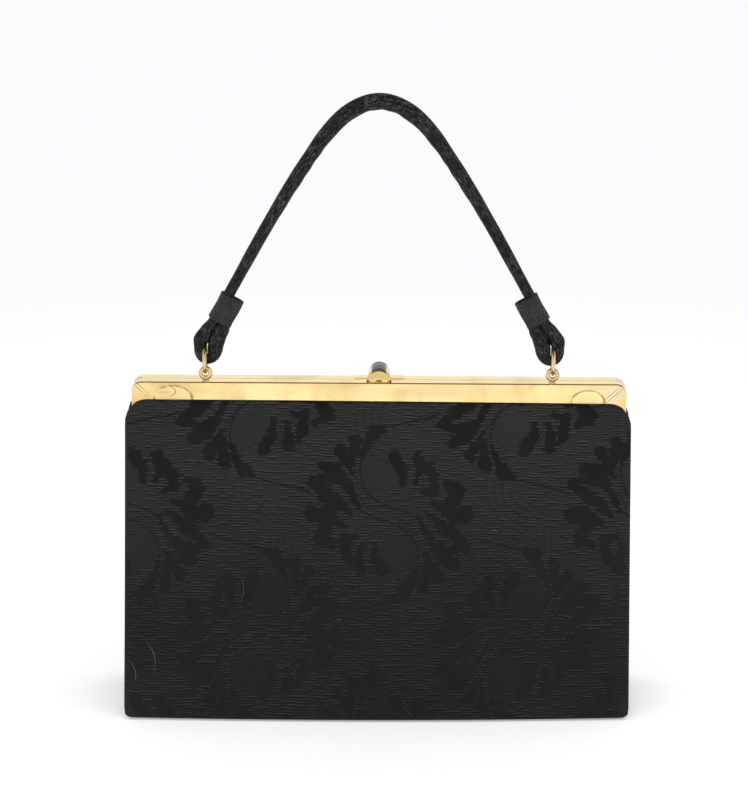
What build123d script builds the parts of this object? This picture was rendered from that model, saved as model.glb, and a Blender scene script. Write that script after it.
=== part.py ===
# Brocade frame handbag, closed and standing on its base, with the handle held upright.
# Millimetres, +Z up, +X to the right of the front, the front faces -Y.
# The origin is on the ground under the middle of the base.
import os
from math import asin, atan2, cos, radians, sin

from build123d import *

os.makedirs("parts", exist_ok=True)

# Overall sizes
bag_width = 254.0
bag_height = 172.0
base_flare = 1.5
base_depth = 60.0
mouth_depth = 18.6

# Brocade walls: padded cloth panels over stiff boards
panel_thickness = 2.2
panel_top_corner = 11.0
panel_bottom_corner = 4.0
panel_lift = 0.5
crown_low = 3.5
crown_high = 0.6
board_thickness = 1.5
board_side_margin = 11.5
board_top_margin = 1.8
board_hinge_gap = 10.0
base_thickness = 2.2
base_corner = 3.0
lining_thickness = 0.8
cloth_gap = 0.1

# Gilt frame: two halves of folded sheet that meet along the top
frame_inset = 2.0
frame_depth = 14.0
frame_sheet = 1.0
frame_corner = 5.0
frame_edge = 0.5
rail_face = 11.0
rail_lip = 2.0
leg_face = 9.0
seam_gap = 0.3
mitre_width = 0.3
mitre_depth = 0.25

# Side hinges of the frame
hinge_drop = 52.0
ear_radius = 4.5
ear_root = 14.0
ear_gap = 0.3
rivet_radius = 1.5
rivet_head_radius = 2.7
rivet_head = 0.8
rivet_clearance = 0.05

# Side gussets with one inward fold
gusset_inset = 5.5
gusset_thickness = 1.2
gusset_gap = 0.3
fold_share = 0.5

# Lift lever clasp at the middle of the rails
lever_radius = 6.4
lever_height = 5.8
lever_length = 17.5
lever_rear_share = 0.85
lever_wall = 0.9
lever_float = 0.9
knuckle_radius = 1.1
knuckle_length = 3.0
knuckle_gap = 0.2
clasp_pin_radius = 0.5
clasp_pin_clearance = 0.05
clasp_setback = 2.6
clasp_plate = 0.5
clasp_plate_width = 11.0
catch_width = 25.0
catch_stud_radius = 1.2
catch_stud_height = 2.4
catch_head_radius = 1.9
catch_head = 0.6

# Handle eyes and rings, of wire drawn as a many-sided section
wire_sides = 6
eye_inset = 37.4
eye_setback = 3.5
eye_radius = 2.85
eye_stock = 0.85
eye_height = 3.9
eye_foot_radius = 1.9
eye_foot = 0.6
ring_radius = 6.75
ring_wire = 1.05
ring_rise = 11.4

# Rolled handle, drawn as a many-sided section
cord_sides = 8
handle_top = 315.0
arch_radius = 37.5
keeper_lean = 21.0
strand_radius = 2.9
arch_cord_radius = 4.1
strand_gap = 0.2
bight_radius = 5.2
keeper_drop = 17.0
keeper_length = 14.6
keeper_wall = 0.6
keeper_clearance = 0.15
strand_end_margin = 1.0

# Values that follow from the sizes above
half_width = bag_width / 2
half_frame = half_width - frame_inset
frame_width = 2 * half_frame
mouth_width = frame_width - 2 * leg_face
half_depth = frame_depth / 2
rail_bottom = bag_height - rail_face
panel_top = rail_bottom - seam_gap
hinge_height = bag_height - hinge_drop
leg_bottom = hinge_height - ear_radius
seam = seam_gap / 2
board_half_width = half_width - board_side_margin
board_top = panel_top - board_top_margin
board_skin = panel_thickness + cloth_gap
wall_total = board_skin + board_thickness + cloth_gap
inner_floor = base_thickness + cloth_gap
wire_turn = 180 / wire_sides
eye_spread = half_frame - eye_inset
eye_middle = bag_height + eye_height
ring_middle = bag_height + ring_rise
low_middle = (Align.CENTER, Align.MIN)


def wall_depth(level):
    """Distance of the wall's outer face from the middle plane at the bag's sides."""
    share = level / panel_top
    return (base_depth + (mouth_depth - base_depth) * share) / 2


def wall_crown(level):
    """How far the middle of the wall bows out past its sides."""
    share = level / panel_top
    return crown_low + (crown_high - crown_low) * share


def wall_arc(level, half_span, inset):
    """The wall's bowed line at one level, inset from its outer face."""
    bow = wall_crown(level) * (1 - (half_span / half_width) ** 2)
    side = inset - wall_depth(level) - bow
    middle = inset - wall_depth(level) - wall_crown(level)
    return ThreePointArc((-half_span, side), (0, middle), (half_span, side))


def leaning_sheet(half_span, low, high, skin, thickness):
    """A sheet that follows the front wall, with its outer face one skin behind the wall's."""
    with BuildPart() as sheet:
        for level in (low, high):
            with BuildSketch(Plane.XY.offset(level)):
                with BuildLine():
                    outer = wall_arc(level, half_span, skin)
                    inner = wall_arc(level, half_span, skin + thickness)
                    Line(outer @ 0, inner @ 0)
                    Line(outer @ 1, inner @ 1)
                make_face()
        loft(ruled=True)
    return sheet


def finish(piece, name):
    """Label a finished piece and write it."""
    piece.part.label = name
    export_step(piece.part, f"parts/{name}.step")


# Front panel: padded brocade with round upper corners
with BuildPart() as front_panel:
    add(leaning_sheet(half_width + base_flare + panel_lift, 0, rail_bottom, 0, panel_thickness).part)
    with BuildSketch(Plane.XZ) as panel_outline:
        Polygon(
            (-half_width - base_flare, panel_lift),
            (half_width + base_flare, panel_lift),
            (half_width, panel_top),
            (-half_width, panel_top),
            align=None,
        )
        fillet(panel_outline.vertices().group_by(Axis.Y)[-1], radius=panel_top_corner)
        fillet(panel_outline.vertices().group_by(Axis.Y)[0], radius=panel_bottom_corner)
    extrude(amount=base_depth, mode=Mode.INTERSECT)
finish(front_panel, "front_panel")

# Rear panel: the same panel on the other side
with BuildPart() as rear_panel:
    mirror(front_panel.part, about=Plane.XZ)
finish(rear_panel, "rear_panel")

# Stiff boards behind the panels. The rear one is parted at the hinge, where it bends open
front_board = leaning_sheet(board_half_width, inner_floor, board_top, board_skin, board_thickness)
finish(front_board, "front_board")

lower_board = leaning_sheet(
    board_half_width, inner_floor, hinge_height - board_hinge_gap, board_skin, board_thickness
)
with BuildPart() as rear_board_lower:
    mirror(lower_board.part, about=Plane.XZ)
finish(rear_board_lower, "rear_board_lower")

upper_board = leaning_sheet(
    board_half_width, hinge_height + board_hinge_gap, board_top, board_skin, board_thickness
)
with BuildPart() as rear_board_upper:
    mirror(upper_board.part, about=Plane.XZ)
finish(rear_board_upper, "rear_board_upper")

# Base: a flat board between the panels, the only piece that meets the ground
with BuildPart() as base_panel:
    with BuildSketch():
        with BuildLine():
            base_inset = panel_thickness + wall_depth(0) - wall_depth(base_thickness) + cloth_gap
            front_edge = wall_arc(0, half_width - panel_lift, base_inset)
            rear_edge = mirror(front_edge, about=Plane.XZ)
            Line(front_edge @ 0, rear_edge @ 0)
            Line(front_edge @ 1, rear_edge @ 1)
        make_face()
    extrude(amount=base_thickness)
    fillet(base_panel.edges().filter_by(Axis.Z), radius=base_corner)
finish(base_panel, "base_panel")


def gusset_half(level):
    """Half the width of a gusset between the walls at one level."""
    return wall_depth(level) - panel_thickness - gusset_gap


def gusset_fold(level):
    """How far the gusset's crease comes in at one level, in step with its width so its leaves stay flat."""
    return fold_share * gusset_half(level)


# Gussets: two flat leaves that meet in a crease, with a narrow wing up beside each frame leg
gusset_top = leg_bottom - gusset_gap
gusset_face = half_width - gusset_inset
with BuildPart() as right_gusset:
    for side in (-1, 1):
        leaf_corners = []
        for level in (inner_floor, gusset_top):
            leaf_corners.append(Vector(gusset_face, side * gusset_half(level), level))
            leaf_corners.append(Vector(gusset_face - gusset_fold(level), 0, level))
        low_edge, low_crease, high_edge, high_crease = leaf_corners
        leaf = Face(Wire.make_polygon([low_edge, low_crease, high_crease, high_edge]))
        extrude(leaf, amount=gusset_thickness, dir=(-1, 0, 0))
    wing_foot = gusset_half(gusset_top)
    wing_edge = half_depth + gusset_gap
    with BuildSketch(Plane.YZ.offset(gusset_face)):
        Polygon((-wing_foot, gusset_top), (-wing_edge, gusset_top), (-wing_edge, board_top), align=None)
        Polygon((wing_foot, gusset_top), (wing_edge, gusset_top), (wing_edge, board_top), align=None)
    extrude(amount=-gusset_thickness)
finish(right_gusset, "right_gusset")

with BuildPart() as left_gusset:
    mirror(right_gusset.part, about=Plane.YZ)
finish(left_gusset, "left_gusset")


def lining_reach(level):
    """Half the lining's length at one level, clear of the frame's legs and the gussets' creases."""
    return mouth_width / 2 - gusset_gap - gusset_fold(level)


def lining_span(level):
    """Half the lining's depth at one level, inside the boards."""
    return wall_depth(level) - wall_total


def tapered_block(floor, inset):
    """A block that fills the lining's place from a floor up, less an inset on its four sides."""
    with BuildPart() as block:
        for plane, half in ((Plane.XZ, lining_reach), (Plane.YZ, lining_span)):
            with BuildSketch(plane):
                Polygon(
                    (inset - half(floor), floor),
                    (half(floor) - inset, floor),
                    (half(board_top) - inset, board_top),
                    (inset - half(board_top), board_top),
                    align=None,
                )
            extrude(amount=bag_width, both=True, mode=Mode.ADD if plane == Plane.XZ else Mode.INTERSECT)
    return block.part


# Lining: an open cloth tub
lining_floor = inner_floor + cloth_gap
with BuildPart() as lining:
    add(tapered_block(lining_floor, 0))
    add(tapered_block(lining_floor + lining_thickness, lining_thickness), mode=Mode.SUBTRACT)
finish(lining, "lining")

# One half of the frame: a folded face, its top and side flanges, and a lip that holds the cloth
face_plane = Plane.XZ.offset(half_depth)
leg_height = rail_bottom - leg_bottom
with BuildSketch(face_plane) as frame_outline:
    with Locations((0, leg_bottom)):
        Rectangle(frame_width, bag_height - leg_bottom, align=low_middle)
    fillet(frame_outline.vertices().group_by(Axis.Y)[-1], radius=frame_corner)

with BuildPart() as frame_half:
    with BuildSketch(face_plane):
        add(frame_outline.sketch)
        with Locations((0, leg_bottom)):
            Rectangle(mouth_width, leg_height, align=low_middle, mode=Mode.SUBTRACT)
    extrude(amount=-frame_sheet)
    with BuildSketch(face_plane):
        add(frame_outline.sketch)
        offset(amount=-frame_sheet, mode=Mode.SUBTRACT)
        with Locations((0, leg_bottom)):
            Rectangle(frame_width - 2 * frame_sheet, leg_height, align=low_middle, mode=Mode.SUBTRACT)
    extrude(amount=seam - half_depth)
    with BuildSketch(Plane.XY.offset(rail_bottom)):
        with Locations((0, -half_depth)):
            Rectangle(mouth_width, frame_sheet + rail_lip, align=low_middle)
    extrude(amount=frame_sheet)
    rim = frame_half.faces().sort_by(Axis.Y)[0].edges()
    rim = rim.filter_by(lambda edge: edge.center().Z > rail_bottom or abs(edge.center().X) == half_frame)
    chamfer(rim, length=frame_edge)
    with BuildSketch(face_plane):
        for side in (-1, 1):
            corner = (side * half_frame, bag_height)
            crease_end = (side * (mouth_width / 2 - mitre_width), rail_bottom - mitre_width)
            with BuildLine():
                Line(corner, crease_end)
            trace(line_width=mitre_width)
    extrude(amount=-mitre_depth, mode=Mode.SUBTRACT)

# Front frame: the outer ear of each side hinge grows out of its leg
right_flange = half_frame - frame_sheet
with BuildPart() as front_frame:
    add(frame_half.part)
    for inner_face in (right_flange, -half_frame):
        with BuildSketch(Plane.YZ.offset(inner_face)):
            with Locations((0, hinge_height)):
                Circle(ear_radius)
                Rectangle(half_depth, 2 * ear_radius, align=(Align.MAX, Align.CENTER))
        extrude(amount=frame_sheet)
        with BuildSketch(Plane.YZ.offset(inner_face)):
            with Locations((0, hinge_height)):
                Circle(rivet_radius)
        extrude(amount=frame_sheet, mode=Mode.SUBTRACT)
finish(front_frame, "front_frame")

# Rear frame: its flange is cut back around the front ear, and its own ear is set inside it
rear_ear_face = right_flange - ear_gap - frame_sheet
with BuildPart() as rear_frame:
    mirror(frame_half.part, about=Plane.XZ)
    for inner_face in (right_flange, -half_frame):
        with BuildSketch(Plane.YZ.offset(inner_face)):
            with Locations((0, leg_bottom)):
                Rectangle(half_depth - frame_sheet, 2 * ear_radius + ear_gap, align=(Align.MIN, Align.MIN))
        extrude(amount=frame_sheet, mode=Mode.SUBTRACT)
    for inner_face in (rear_ear_face, -rear_ear_face - frame_sheet):
        with BuildSketch(Plane.YZ.offset(inner_face)):
            with Locations((0, hinge_height)):
                Circle(ear_radius)
            with Locations((0, leg_bottom)):
                Rectangle(half_depth, ear_radius + ear_root, align=(Align.MIN, Align.MIN))
            with Locations((0, hinge_height)):
                Circle(rivet_radius + rivet_clearance, mode=Mode.SUBTRACT)
        extrude(amount=frame_sheet)
finish(rear_frame, "rear_frame")

# Hinge rivets: one through the two ears on each side
rivet_start = rear_ear_face - rivet_clearance
with BuildPart() as hinge_rivets:
    for start, length, radius in (
        (rivet_start - rivet_head, rivet_head, rivet_head_radius),
        (rivet_start, half_frame - rivet_start, rivet_radius),
        (half_frame, rivet_head, rivet_head_radius),
    ):
        with BuildSketch(Plane.YZ.offset(start)):
            with Locations((0, hinge_height)):
                Circle(radius)
        extrude(amount=length)
    mirror(about=Plane.YZ)
finish(hinge_rivets, "hinge_rivets")


def handle_eye(side):
    """An eye that stands on the front rail, its hole facing the front."""
    place = (side * eye_spread, -eye_setback)
    with BuildPart() as eye:
        with BuildSketch(Plane.XY.offset(bag_height)):
            with Locations(place):
                Circle(eye_foot_radius)
        extrude(amount=eye_foot)
        with BuildSketch(Plane.XY.offset(bag_height)):
            with Locations(place):
                Circle(eye_stock)
        extrude(amount=eye_height - eye_radius)
        with BuildSketch(Plane.XY.offset(eye_middle)):
            with Locations((side * eye_spread + eye_radius, -eye_setback)):
                RegularPolygon(eye_stock, wire_sides, rotation=wire_turn)
        revolve(axis=Axis((*place, eye_middle), (0, 1, 0)))
    return eye


def handle_ring(side):
    """A wire ring hung edge-on through the eye."""
    with BuildPart() as ring:
        with BuildSketch(Plane.XY.offset(ring_middle)):
            with Locations((side * eye_spread, ring_radius - eye_setback)):
                RegularPolygon(ring_wire, wire_sides, rotation=wire_turn)
        revolve(axis=Axis((side * eye_spread, -eye_setback, ring_middle), (1, 0, 0)))
    return ring


for side, side_name in ((-1, "left"), (1, "right")):
    finish(handle_eye(side), f"handle_eye_{side_name}")
    finish(handle_ring(side), f"handle_ring_{side_name}")

# Handle route on its right side: the strands leave the keeper side by side, part, and turn
# through the ring as one round bight. Each is a straight run and an arc tangent to that bight
strand_pitch = 2 * strand_radius + strand_gap
ring_point = Vector(eye_spread, -eye_setback, ring_middle)
keeper_way = Vector(-sin(radians(keeper_lean)), 0, cos(radians(keeper_lean)))
keeper_foot = ring_point + keeper_way * keeper_drop

# Above the keeper the outer strand runs straight, at the slope that meets the arch smoothly
arch_point = Vector(0, -eye_setback, handle_top)
arch_middle = arch_point - Vector(0, 0, arch_radius)
arch_way = arch_middle - keeper_foot
strand_slope = atan2(-arch_way.X, arch_way.Z) - asin((arch_radius - strand_pitch / 2) / arch_way.length)
upward = Vector(-sin(strand_slope), 0, cos(strand_slope))
outward = Vector(cos(strand_slope), 0, sin(strand_slope))
main_foot = keeper_foot + outward * (strand_pitch / 2)
return_foot = keeper_foot - outward * (strand_pitch / 2)
bight_middle = ring_point + Vector(0, 0, bight_radius)


def bight_joint(foot, away):
    """Where the arc that leaves a straight strand at its foot meets the bight, tangent to both."""
    reach = foot - bight_middle
    radius = (reach.dot(reach) - bight_radius**2) / (2 * (bight_radius - reach.dot(away)))
    middle = foot + away * radius
    return middle + (bight_middle - middle) * (radius / (radius + bight_radius))


main_joint = bight_joint(main_foot, outward)
return_joint = bight_joint(return_foot, -outward)
main_top = main_foot + upward * keeper_length
return_end = return_foot + upward * (keeper_length - strand_end_margin)
arch_joint = arch_middle + outward * arch_radius

with BuildPart() as handle_cord:
    with BuildLine(mode=Mode.PRIVATE) as loop_route:
        Line(return_end, return_foot)
        TangentArc(return_foot, return_joint, tangent=-upward)
        ThreePointArc(return_joint, ring_point, main_joint)
        TangentArc(main_foot, main_joint, tangent=-upward)
        Line(main_foot, main_top)
    with BuildSketch(Plane(return_end, x_dir=(0, 1, 0), z_dir=-upward)):
        RegularPolygon(strand_radius, cord_sides)
    sweep(path=loop_route.wire())
    for place, radius in ((main_top, strand_radius), (arch_joint, arch_cord_radius)):
        with BuildSketch(Plane(place, x_dir=(0, 1, 0), z_dir=upward)):
            RegularPolygon(radius, cord_sides)
    loft()
    with BuildLine(mode=Mode.PRIVATE) as arch_route:
        TangentArc(arch_joint, arch_point, tangent=upward)
    with BuildSketch(Plane(arch_joint, x_dir=(0, 1, 0), z_dir=upward)):
        RegularPolygon(arch_cord_radius, cord_sides)
    sweep(path=arch_route.wire())
    mirror(about=Plane.YZ)
finish(handle_cord, "handle_cord")

# Keepers: a band round both strands above each loop
keeper_plane = Plane(keeper_foot, x_dir=outward, z_dir=upward)
keeper_bore = 2 * (strand_radius + keeper_clearance)
with BuildPart() as keeper_right:
    with BuildSketch(keeper_plane):
        SlotOverall(strand_pitch + keeper_bore + 2 * keeper_wall, keeper_bore + 2 * keeper_wall)
        SlotOverall(strand_pitch + keeper_bore, keeper_bore, mode=Mode.SUBTRACT)
    extrude(amount=keeper_length)
finish(keeper_right, "keeper_right")

with BuildPart() as keeper_left:
    mirror(keeper_right.part, about=Plane.YZ)
finish(keeper_left, "keeper_left")

# Clasp base on the front rail: a plate with two knuckles for the lever's pin
pin_setback = clasp_setback - half_depth
pin_height = bag_height + clasp_plate + knuckle_gap + knuckle_radius
knuckle_start = knuckle_length / 2
with BuildPart() as clasp_base:
    with BuildSketch(Plane.XY.offset(bag_height)):
        with Locations((0, pin_setback)):
            Rectangle(clasp_plate_width, 2 * knuckle_radius)
    extrude(amount=clasp_plate)
    for start in (knuckle_start, -knuckle_start - knuckle_length):
        with BuildSketch(Plane.YZ.offset(start)):
            with Locations((pin_setback, pin_height)):
                Circle(knuckle_radius)
                Rectangle(2 * knuckle_radius, pin_height - bag_height, align=(Align.CENTER, Align.MAX))
                Circle(clasp_pin_radius, mode=Mode.SUBTRACT)
        extrude(amount=knuckle_length)
finish(clasp_base, "clasp_base")

with BuildPart() as clasp_pin:
    with BuildSketch(Plane.YZ):
        with Locations((pin_setback, pin_height)):
            Circle(clasp_pin_radius)
    extrude(amount=knuckle_start + knuckle_length, both=True)
finish(clasp_pin, "clasp_pin")


# Clasp lever: a hollow half-round that tapers to its open rear end, hinged under its nose
lever_end = pin_setback + lever_length
lever_foot = bag_height + lever_float
lever_middle = lever_foot + lever_height - lever_radius
lever_outside = (pin_setback, 0, Mode.ADD)
lever_hollow = (pin_setback + lever_wall, lever_wall, Mode.SUBTRACT)
notch_start = knuckle_start - knuckle_gap
notch_length = knuckle_length + 2 * knuckle_gap
barrel_bore = clasp_pin_radius + clasp_pin_clearance
with BuildPart() as clasp_lever:
    for start, wall, mode in (lever_outside, lever_hollow):
        with BuildSketch(Plane.YZ):
            Polygon(
                (start, lever_middle),
                (lever_end, lever_middle),
                (lever_end, lever_middle + lever_radius * lever_rear_share - wall),
                (start, lever_middle + lever_radius - wall),
                align=None,
            )
        revolve(axis=Axis((0, 0, lever_middle), (0, 1, 0)), mode=mode)
    split(bisect_by=Plane.XY.offset(lever_foot), keep=Keep.TOP)
    for start in (notch_start, -notch_start - notch_length):
        with BuildSketch(Plane.YZ.offset(start)):
            with Locations((pin_setback, pin_height)):
                Circle(knuckle_radius + knuckle_gap)
        extrude(amount=notch_length, mode=Mode.SUBTRACT)
    for mode, radius in ((Mode.ADD, knuckle_radius), (Mode.SUBTRACT, barrel_bore)):
        with BuildSketch(Plane.YZ):
            with Locations((pin_setback, pin_height)):
                Circle(radius)
        extrude(amount=notch_start, both=True, mode=mode)
finish(clasp_lever, "clasp_lever")

# Catch plate on the rear rail, with the headed stud that the lever closes over
with BuildPart() as catch_plate:
    with BuildSketch(Plane.XY.offset(bag_height)) as catch_sketch:
        with Locations((0, half_depth / 2)):
            Rectangle(catch_width, half_depth - 2 * frame_sheet)
        fillet(catch_sketch.vertices(), radius=catch_stud_radius)
    extrude(amount=clasp_plate)
    for height, radius in ((catch_stud_height, catch_stud_radius), (catch_head, catch_head_radius)):
        with BuildSketch(Plane.XY.offset(catch_plate.faces().sort_by(Axis.Z)[-1].center().Z)):
            with Locations((0, half_depth / 2)):
                Circle(radius)
        extrude(amount=height)
finish(catch_plate, "catch_plate")
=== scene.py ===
# %% [markdown]
# # A brocade frame handbag
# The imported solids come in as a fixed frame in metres, with the bag's front facing -Y.
# Rigid pieces keep their solids and get a finish. Cloth pieces are rebuilt as soft meshes
# in the same places, because a padded panel or a rolled handle has no flat faces.

# %% Load the frame
import math

import bmesh
import bpy
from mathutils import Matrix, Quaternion, Vector


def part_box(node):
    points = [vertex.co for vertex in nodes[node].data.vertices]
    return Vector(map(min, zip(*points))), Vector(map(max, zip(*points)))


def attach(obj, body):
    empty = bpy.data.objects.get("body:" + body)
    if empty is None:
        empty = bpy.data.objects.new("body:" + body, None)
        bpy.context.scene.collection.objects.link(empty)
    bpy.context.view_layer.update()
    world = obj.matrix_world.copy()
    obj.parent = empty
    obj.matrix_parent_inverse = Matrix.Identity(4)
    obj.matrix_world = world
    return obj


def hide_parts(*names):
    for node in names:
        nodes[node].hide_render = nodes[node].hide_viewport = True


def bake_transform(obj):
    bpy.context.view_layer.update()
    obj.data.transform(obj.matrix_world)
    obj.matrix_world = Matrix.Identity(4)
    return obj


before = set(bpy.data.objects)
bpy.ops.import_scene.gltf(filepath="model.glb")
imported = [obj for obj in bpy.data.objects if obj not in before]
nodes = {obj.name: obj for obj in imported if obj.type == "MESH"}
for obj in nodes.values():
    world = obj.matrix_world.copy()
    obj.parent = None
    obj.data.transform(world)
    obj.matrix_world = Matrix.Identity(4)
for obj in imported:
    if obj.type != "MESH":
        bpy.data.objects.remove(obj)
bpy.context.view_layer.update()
MM = 0.001
print("nodes:", len(nodes))


# %% [markdown]
# ## Camera
# The bag is seen from the front and a little above, with a long lens from well back, so its
# sides stay nearly parallel. The picture is taller than wide, so the sensor spans its height.

# %% Camera
IMAGE_HEIGHT = 800
FOCAL_PIXELS = 2757
SENSOR = 36
CAMERA_TURN = math.radians(0.66)
CAMERA_RISE = math.radians(16.67)
CAMERA_ROLL = math.radians(0.16)
CAMERA_AWAY = 1.4
CAMERA_AIM = Vector((-0.0025, 0, 0.161))

camera_data = bpy.data.cameras.new("camera")
camera_data.sensor_width = SENSOR
camera_data.lens = SENSOR * FOCAL_PIXELS / IMAGE_HEIGHT
camera = bpy.data.objects.new("camera", camera_data)
bpy.context.scene.collection.objects.link(camera)
backward = Vector((
    math.sin(CAMERA_TURN) * math.cos(CAMERA_RISE),
    -math.cos(CAMERA_TURN) * math.cos(CAMERA_RISE),
    math.sin(CAMERA_RISE),
))
camera.location = CAMERA_AIM + backward * CAMERA_AWAY
camera.rotation_mode = "QUATERNION"
camera.rotation_quaternion = (-backward).to_track_quat("-Z", "Y") @ Quaternion((0, 0, 1), CAMERA_ROLL)
bpy.context.scene.camera = camera
print("lens:", round(camera_data.lens, 1), "mm")


# %% [markdown]
# ## Arithmetic on shader sockets
# A pattern is a formula over the cloth, so each socket is wrapped in a small class whose
# operators add the Math nodes. Any other node goes through one method that takes the node's
# type, its settings and its inputs.

# %% Field
class Field:
    """A value that varies over a surface: one shader socket, with arithmetic."""

    def __init__(self, tree, socket):
        self.tree = tree
        self.socket = socket

    def node(self, kind, inputs, output=0, **settings):
        """Add any node to this field's tree and return one of its outputs."""
        made = self.tree.nodes.new(kind)
        for name, value in settings.items():
            setattr(made, name, value)
        pairs = inputs.items() if isinstance(inputs, dict) else enumerate(inputs)
        for key, value in pairs:
            if isinstance(value, Field):
                self.tree.links.new(value.socket, made.inputs[key])
            else:
                made.inputs[key].default_value = value
        return Field(self.tree, made.outputs[output])

    def math(self, operation, *others, clamp=False):
        return self.node("ShaderNodeMath", (self, *others), operation=operation, use_clamp=clamp)

    def __add__(self, other):
        return self.math("ADD", other)

    def __radd__(self, other):
        return self.math("ADD", other)

    def __sub__(self, other):
        return self.math("SUBTRACT", other)

    def __rsub__(self, other):
        return self.node("ShaderNodeMath", (other, self), operation="SUBTRACT")

    def __mul__(self, other):
        return self.math("MULTIPLY", other)

    def __rmul__(self, other):
        return self.math("MULTIPLY", other)

    def __truediv__(self, other):
        return self.math("DIVIDE", other)

    def __rtruediv__(self, other):
        return self.node("ShaderNodeMath", (other, self), operation="DIVIDE")

    def __neg__(self):
        return self.math("MULTIPLY", -1.0)

    def __lt__(self, other):
        return self.math("LESS_THAN", other)

    def __gt__(self, other):
        return self.math("GREATER_THAN", other)

    def smallest(self, other):
        return self.math("MINIMUM", other)

    def largest(self, other):
        return self.math("MAXIMUM", other)

    def step(self, low, high):
        """A smooth rise from 0 at low to 1 at high."""
        return self.node(
            "ShaderNodeMapRange", {0: self, 1: low, 2: high}, interpolation_type="SMOOTHSTEP"
        )

    def wave(self, period):
        """A sine between 0 and 1 with this period."""
        return (self * (math.tau / period)).math("SINE") * 0.5 + 0.5

    def fold(self, period, centre):
        """Distance to the nearest of a row of centres, with its sign."""
        return (self - centre + period / 2).math("FLOORED_MODULO", period) - period / 2

    def mix(self, low, high):
        """A colour from low to high as this field goes from 0 to 1."""
        return self.node(
            "ShaderNodeMix", {0: self, 6: low, 7: high}, output=2, data_type="RGBA"
        )


print("shader arithmetic ready")


# %% [markdown]
# ### Materials and common patterns
# A material starts as the standard shader with its constants set, and fields are then linked into
# the sockets that vary. Patterns on cloth are drawn in millimetres on the flat cloth, which each
# cloth piece carries as a UV map, so they bend with it.

# %% Shader helpers
def distance(across, up):
    """Length of the vector with these two parts."""
    return (across * across + up * up).math("SQRT")


def shader(name, constants):
    """A new material whose shader has these constants, and a field to start its nodes from."""
    material = bpy.data.materials.new(name)
    material.use_nodes = True
    tree = material.node_tree
    surface = tree.nodes["Principled BSDF"]
    for socket, value in constants.items():
        surface.inputs[socket].default_value = value
    start = Field(tree, surface.outputs[0])
    return material, surface, start


def feed(surface, fields):
    """Link fields into a shader's sockets."""
    for socket, field in fields.items():
        field.tree.links.new(field.socket, surface.inputs[socket])


def flat_place(start):
    """Place on the cloth before it was sewn: across and along, in millimetres."""
    place = start.node("ShaderNodeUVMap", (), uv_map="cloth")
    across = place.node("ShaderNodeSeparateXYZ", (place,), output=0)
    along = place.node("ShaderNodeSeparateXYZ", (place,), output=1)
    return across / MM, along / MM


def noise(start, place, scale, detail=2.0):
    """Smooth noise between 0 and 1 over a place."""
    return start.node(
        "ShaderNodeTexNoise", {"Vector": place, "Scale": scale, "Detail": detail}, output=0
    )


def vector(across, along):
    """Two fields as one flat vector."""
    return across.node("ShaderNodeCombineXYZ", (across, along))


def bump(height, distance_m, strength=1.0):
    """A normal bent by a height field."""
    return height.node("ShaderNodeBump", {"Height": height, "Distance": distance_m, "Strength": strength})


print("shader helpers ready")


# %% [markdown]
# ## Light and floor
# The bag stands on white paper in a bright studio. The paper glows a little, which washes its
# shadows out as so much light does. It fades out far away and ends before the camera on a brown
# table, because gilt looks like metal only when it has something dark to mirror.

# %% Paper floor
scene = bpy.context.scene
scene.view_settings.view_transform = "Standard"

PAPER_FADE = (0.5, 0.95)
PAPER_FRONT = (-0.66, -0.58)
PAPER_SHEEN = {"Roughness": 0.9, "Specular IOR Level": 0.1}
PAPER_GLOW = {"Emission Color": (1, 0.985, 1, 1), "Emission Strength": 0.27}
PAPER_WHITES = ((0.88, 0.87, 0.88, 1), (0.9, 0.89, 0.9, 1))
PAPER_GRAIN = 40.0
TABLE_BROWN = (0.42, 0.36, 0.28, 1)
paper, paper_surface, start = shader("paper", PAPER_SHEEN | PAPER_GLOW)
place = start.node("ShaderNodeTexCoord", (), output=3)
grain = noise(start, place, PAPER_GRAIN)
away = place.node("ShaderNodeVectorMath", (place,), output=1, operation="LENGTH")
near = place.node("ShaderNodeSeparateXYZ", (place,), output=1).step(*PAPER_FRONT)
feed(
    paper_surface,
    {
        "Base Color": near.mix(TABLE_BROWN, grain.mix(*PAPER_WHITES)),
        "Alpha": 1 - away.step(*PAPER_FADE),
    },
)

FLOOR_REACH = 3.0
FLOOR_TOP = -0.0002
floor_mesh = bpy.data.meshes.new("paper_floor")
corners = [(-FLOOR_REACH, -FLOOR_REACH), (FLOOR_REACH, -FLOOR_REACH)]
corners += [(FLOOR_REACH, FLOOR_REACH), (-FLOOR_REACH, FLOOR_REACH)]
floor_mesh.from_pydata([(x, y, FLOOR_TOP) for x, y in corners], [], [(0, 1, 2, 3)])
floor_mesh.materials.append(paper)
floor = bpy.data.objects.new("paper_floor", floor_mesh)
scene.collection.objects.link(floor)
print("paper reach:", FLOOR_REACH, "m")


# %% [markdown]
# ### Lamps
# A small lamp makes hard shadows, so these are squares about a metre wide: overhead, in front
# and at the side. They don't show in the gilt, which mirrors the backdrop and the table.

# %% Lamps
# Name, size, place and the height aimed at in metres, then watts
LAMPS = (
    ("overhead_lamp", 1.2, (0, -0.3, 1.8), 0.1, 7),
    ("front_lamp", 1.2, (-0.9, -1.9, 1.3), 0.1, 5),
    ("side_lamp", 0.9, (1.5, -0.6, 1.0), 0.15, 3),
)
for name, size, place, level, watts in LAMPS:
    data = bpy.data.lights.new(name, "AREA")
    data.size = size
    data.energy = watts
    light = bpy.data.objects.new(name, data)
    light.location = place
    light.rotation_mode = "QUATERNION"
    light.rotation_quaternion = (Vector((0, 0, level)) - Vector(place)).to_track_quat("-Z", "Y")
    light.visible_glossy = False
    scene.collection.objects.link(light)
print("lamps:", len(LAMPS))


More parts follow.
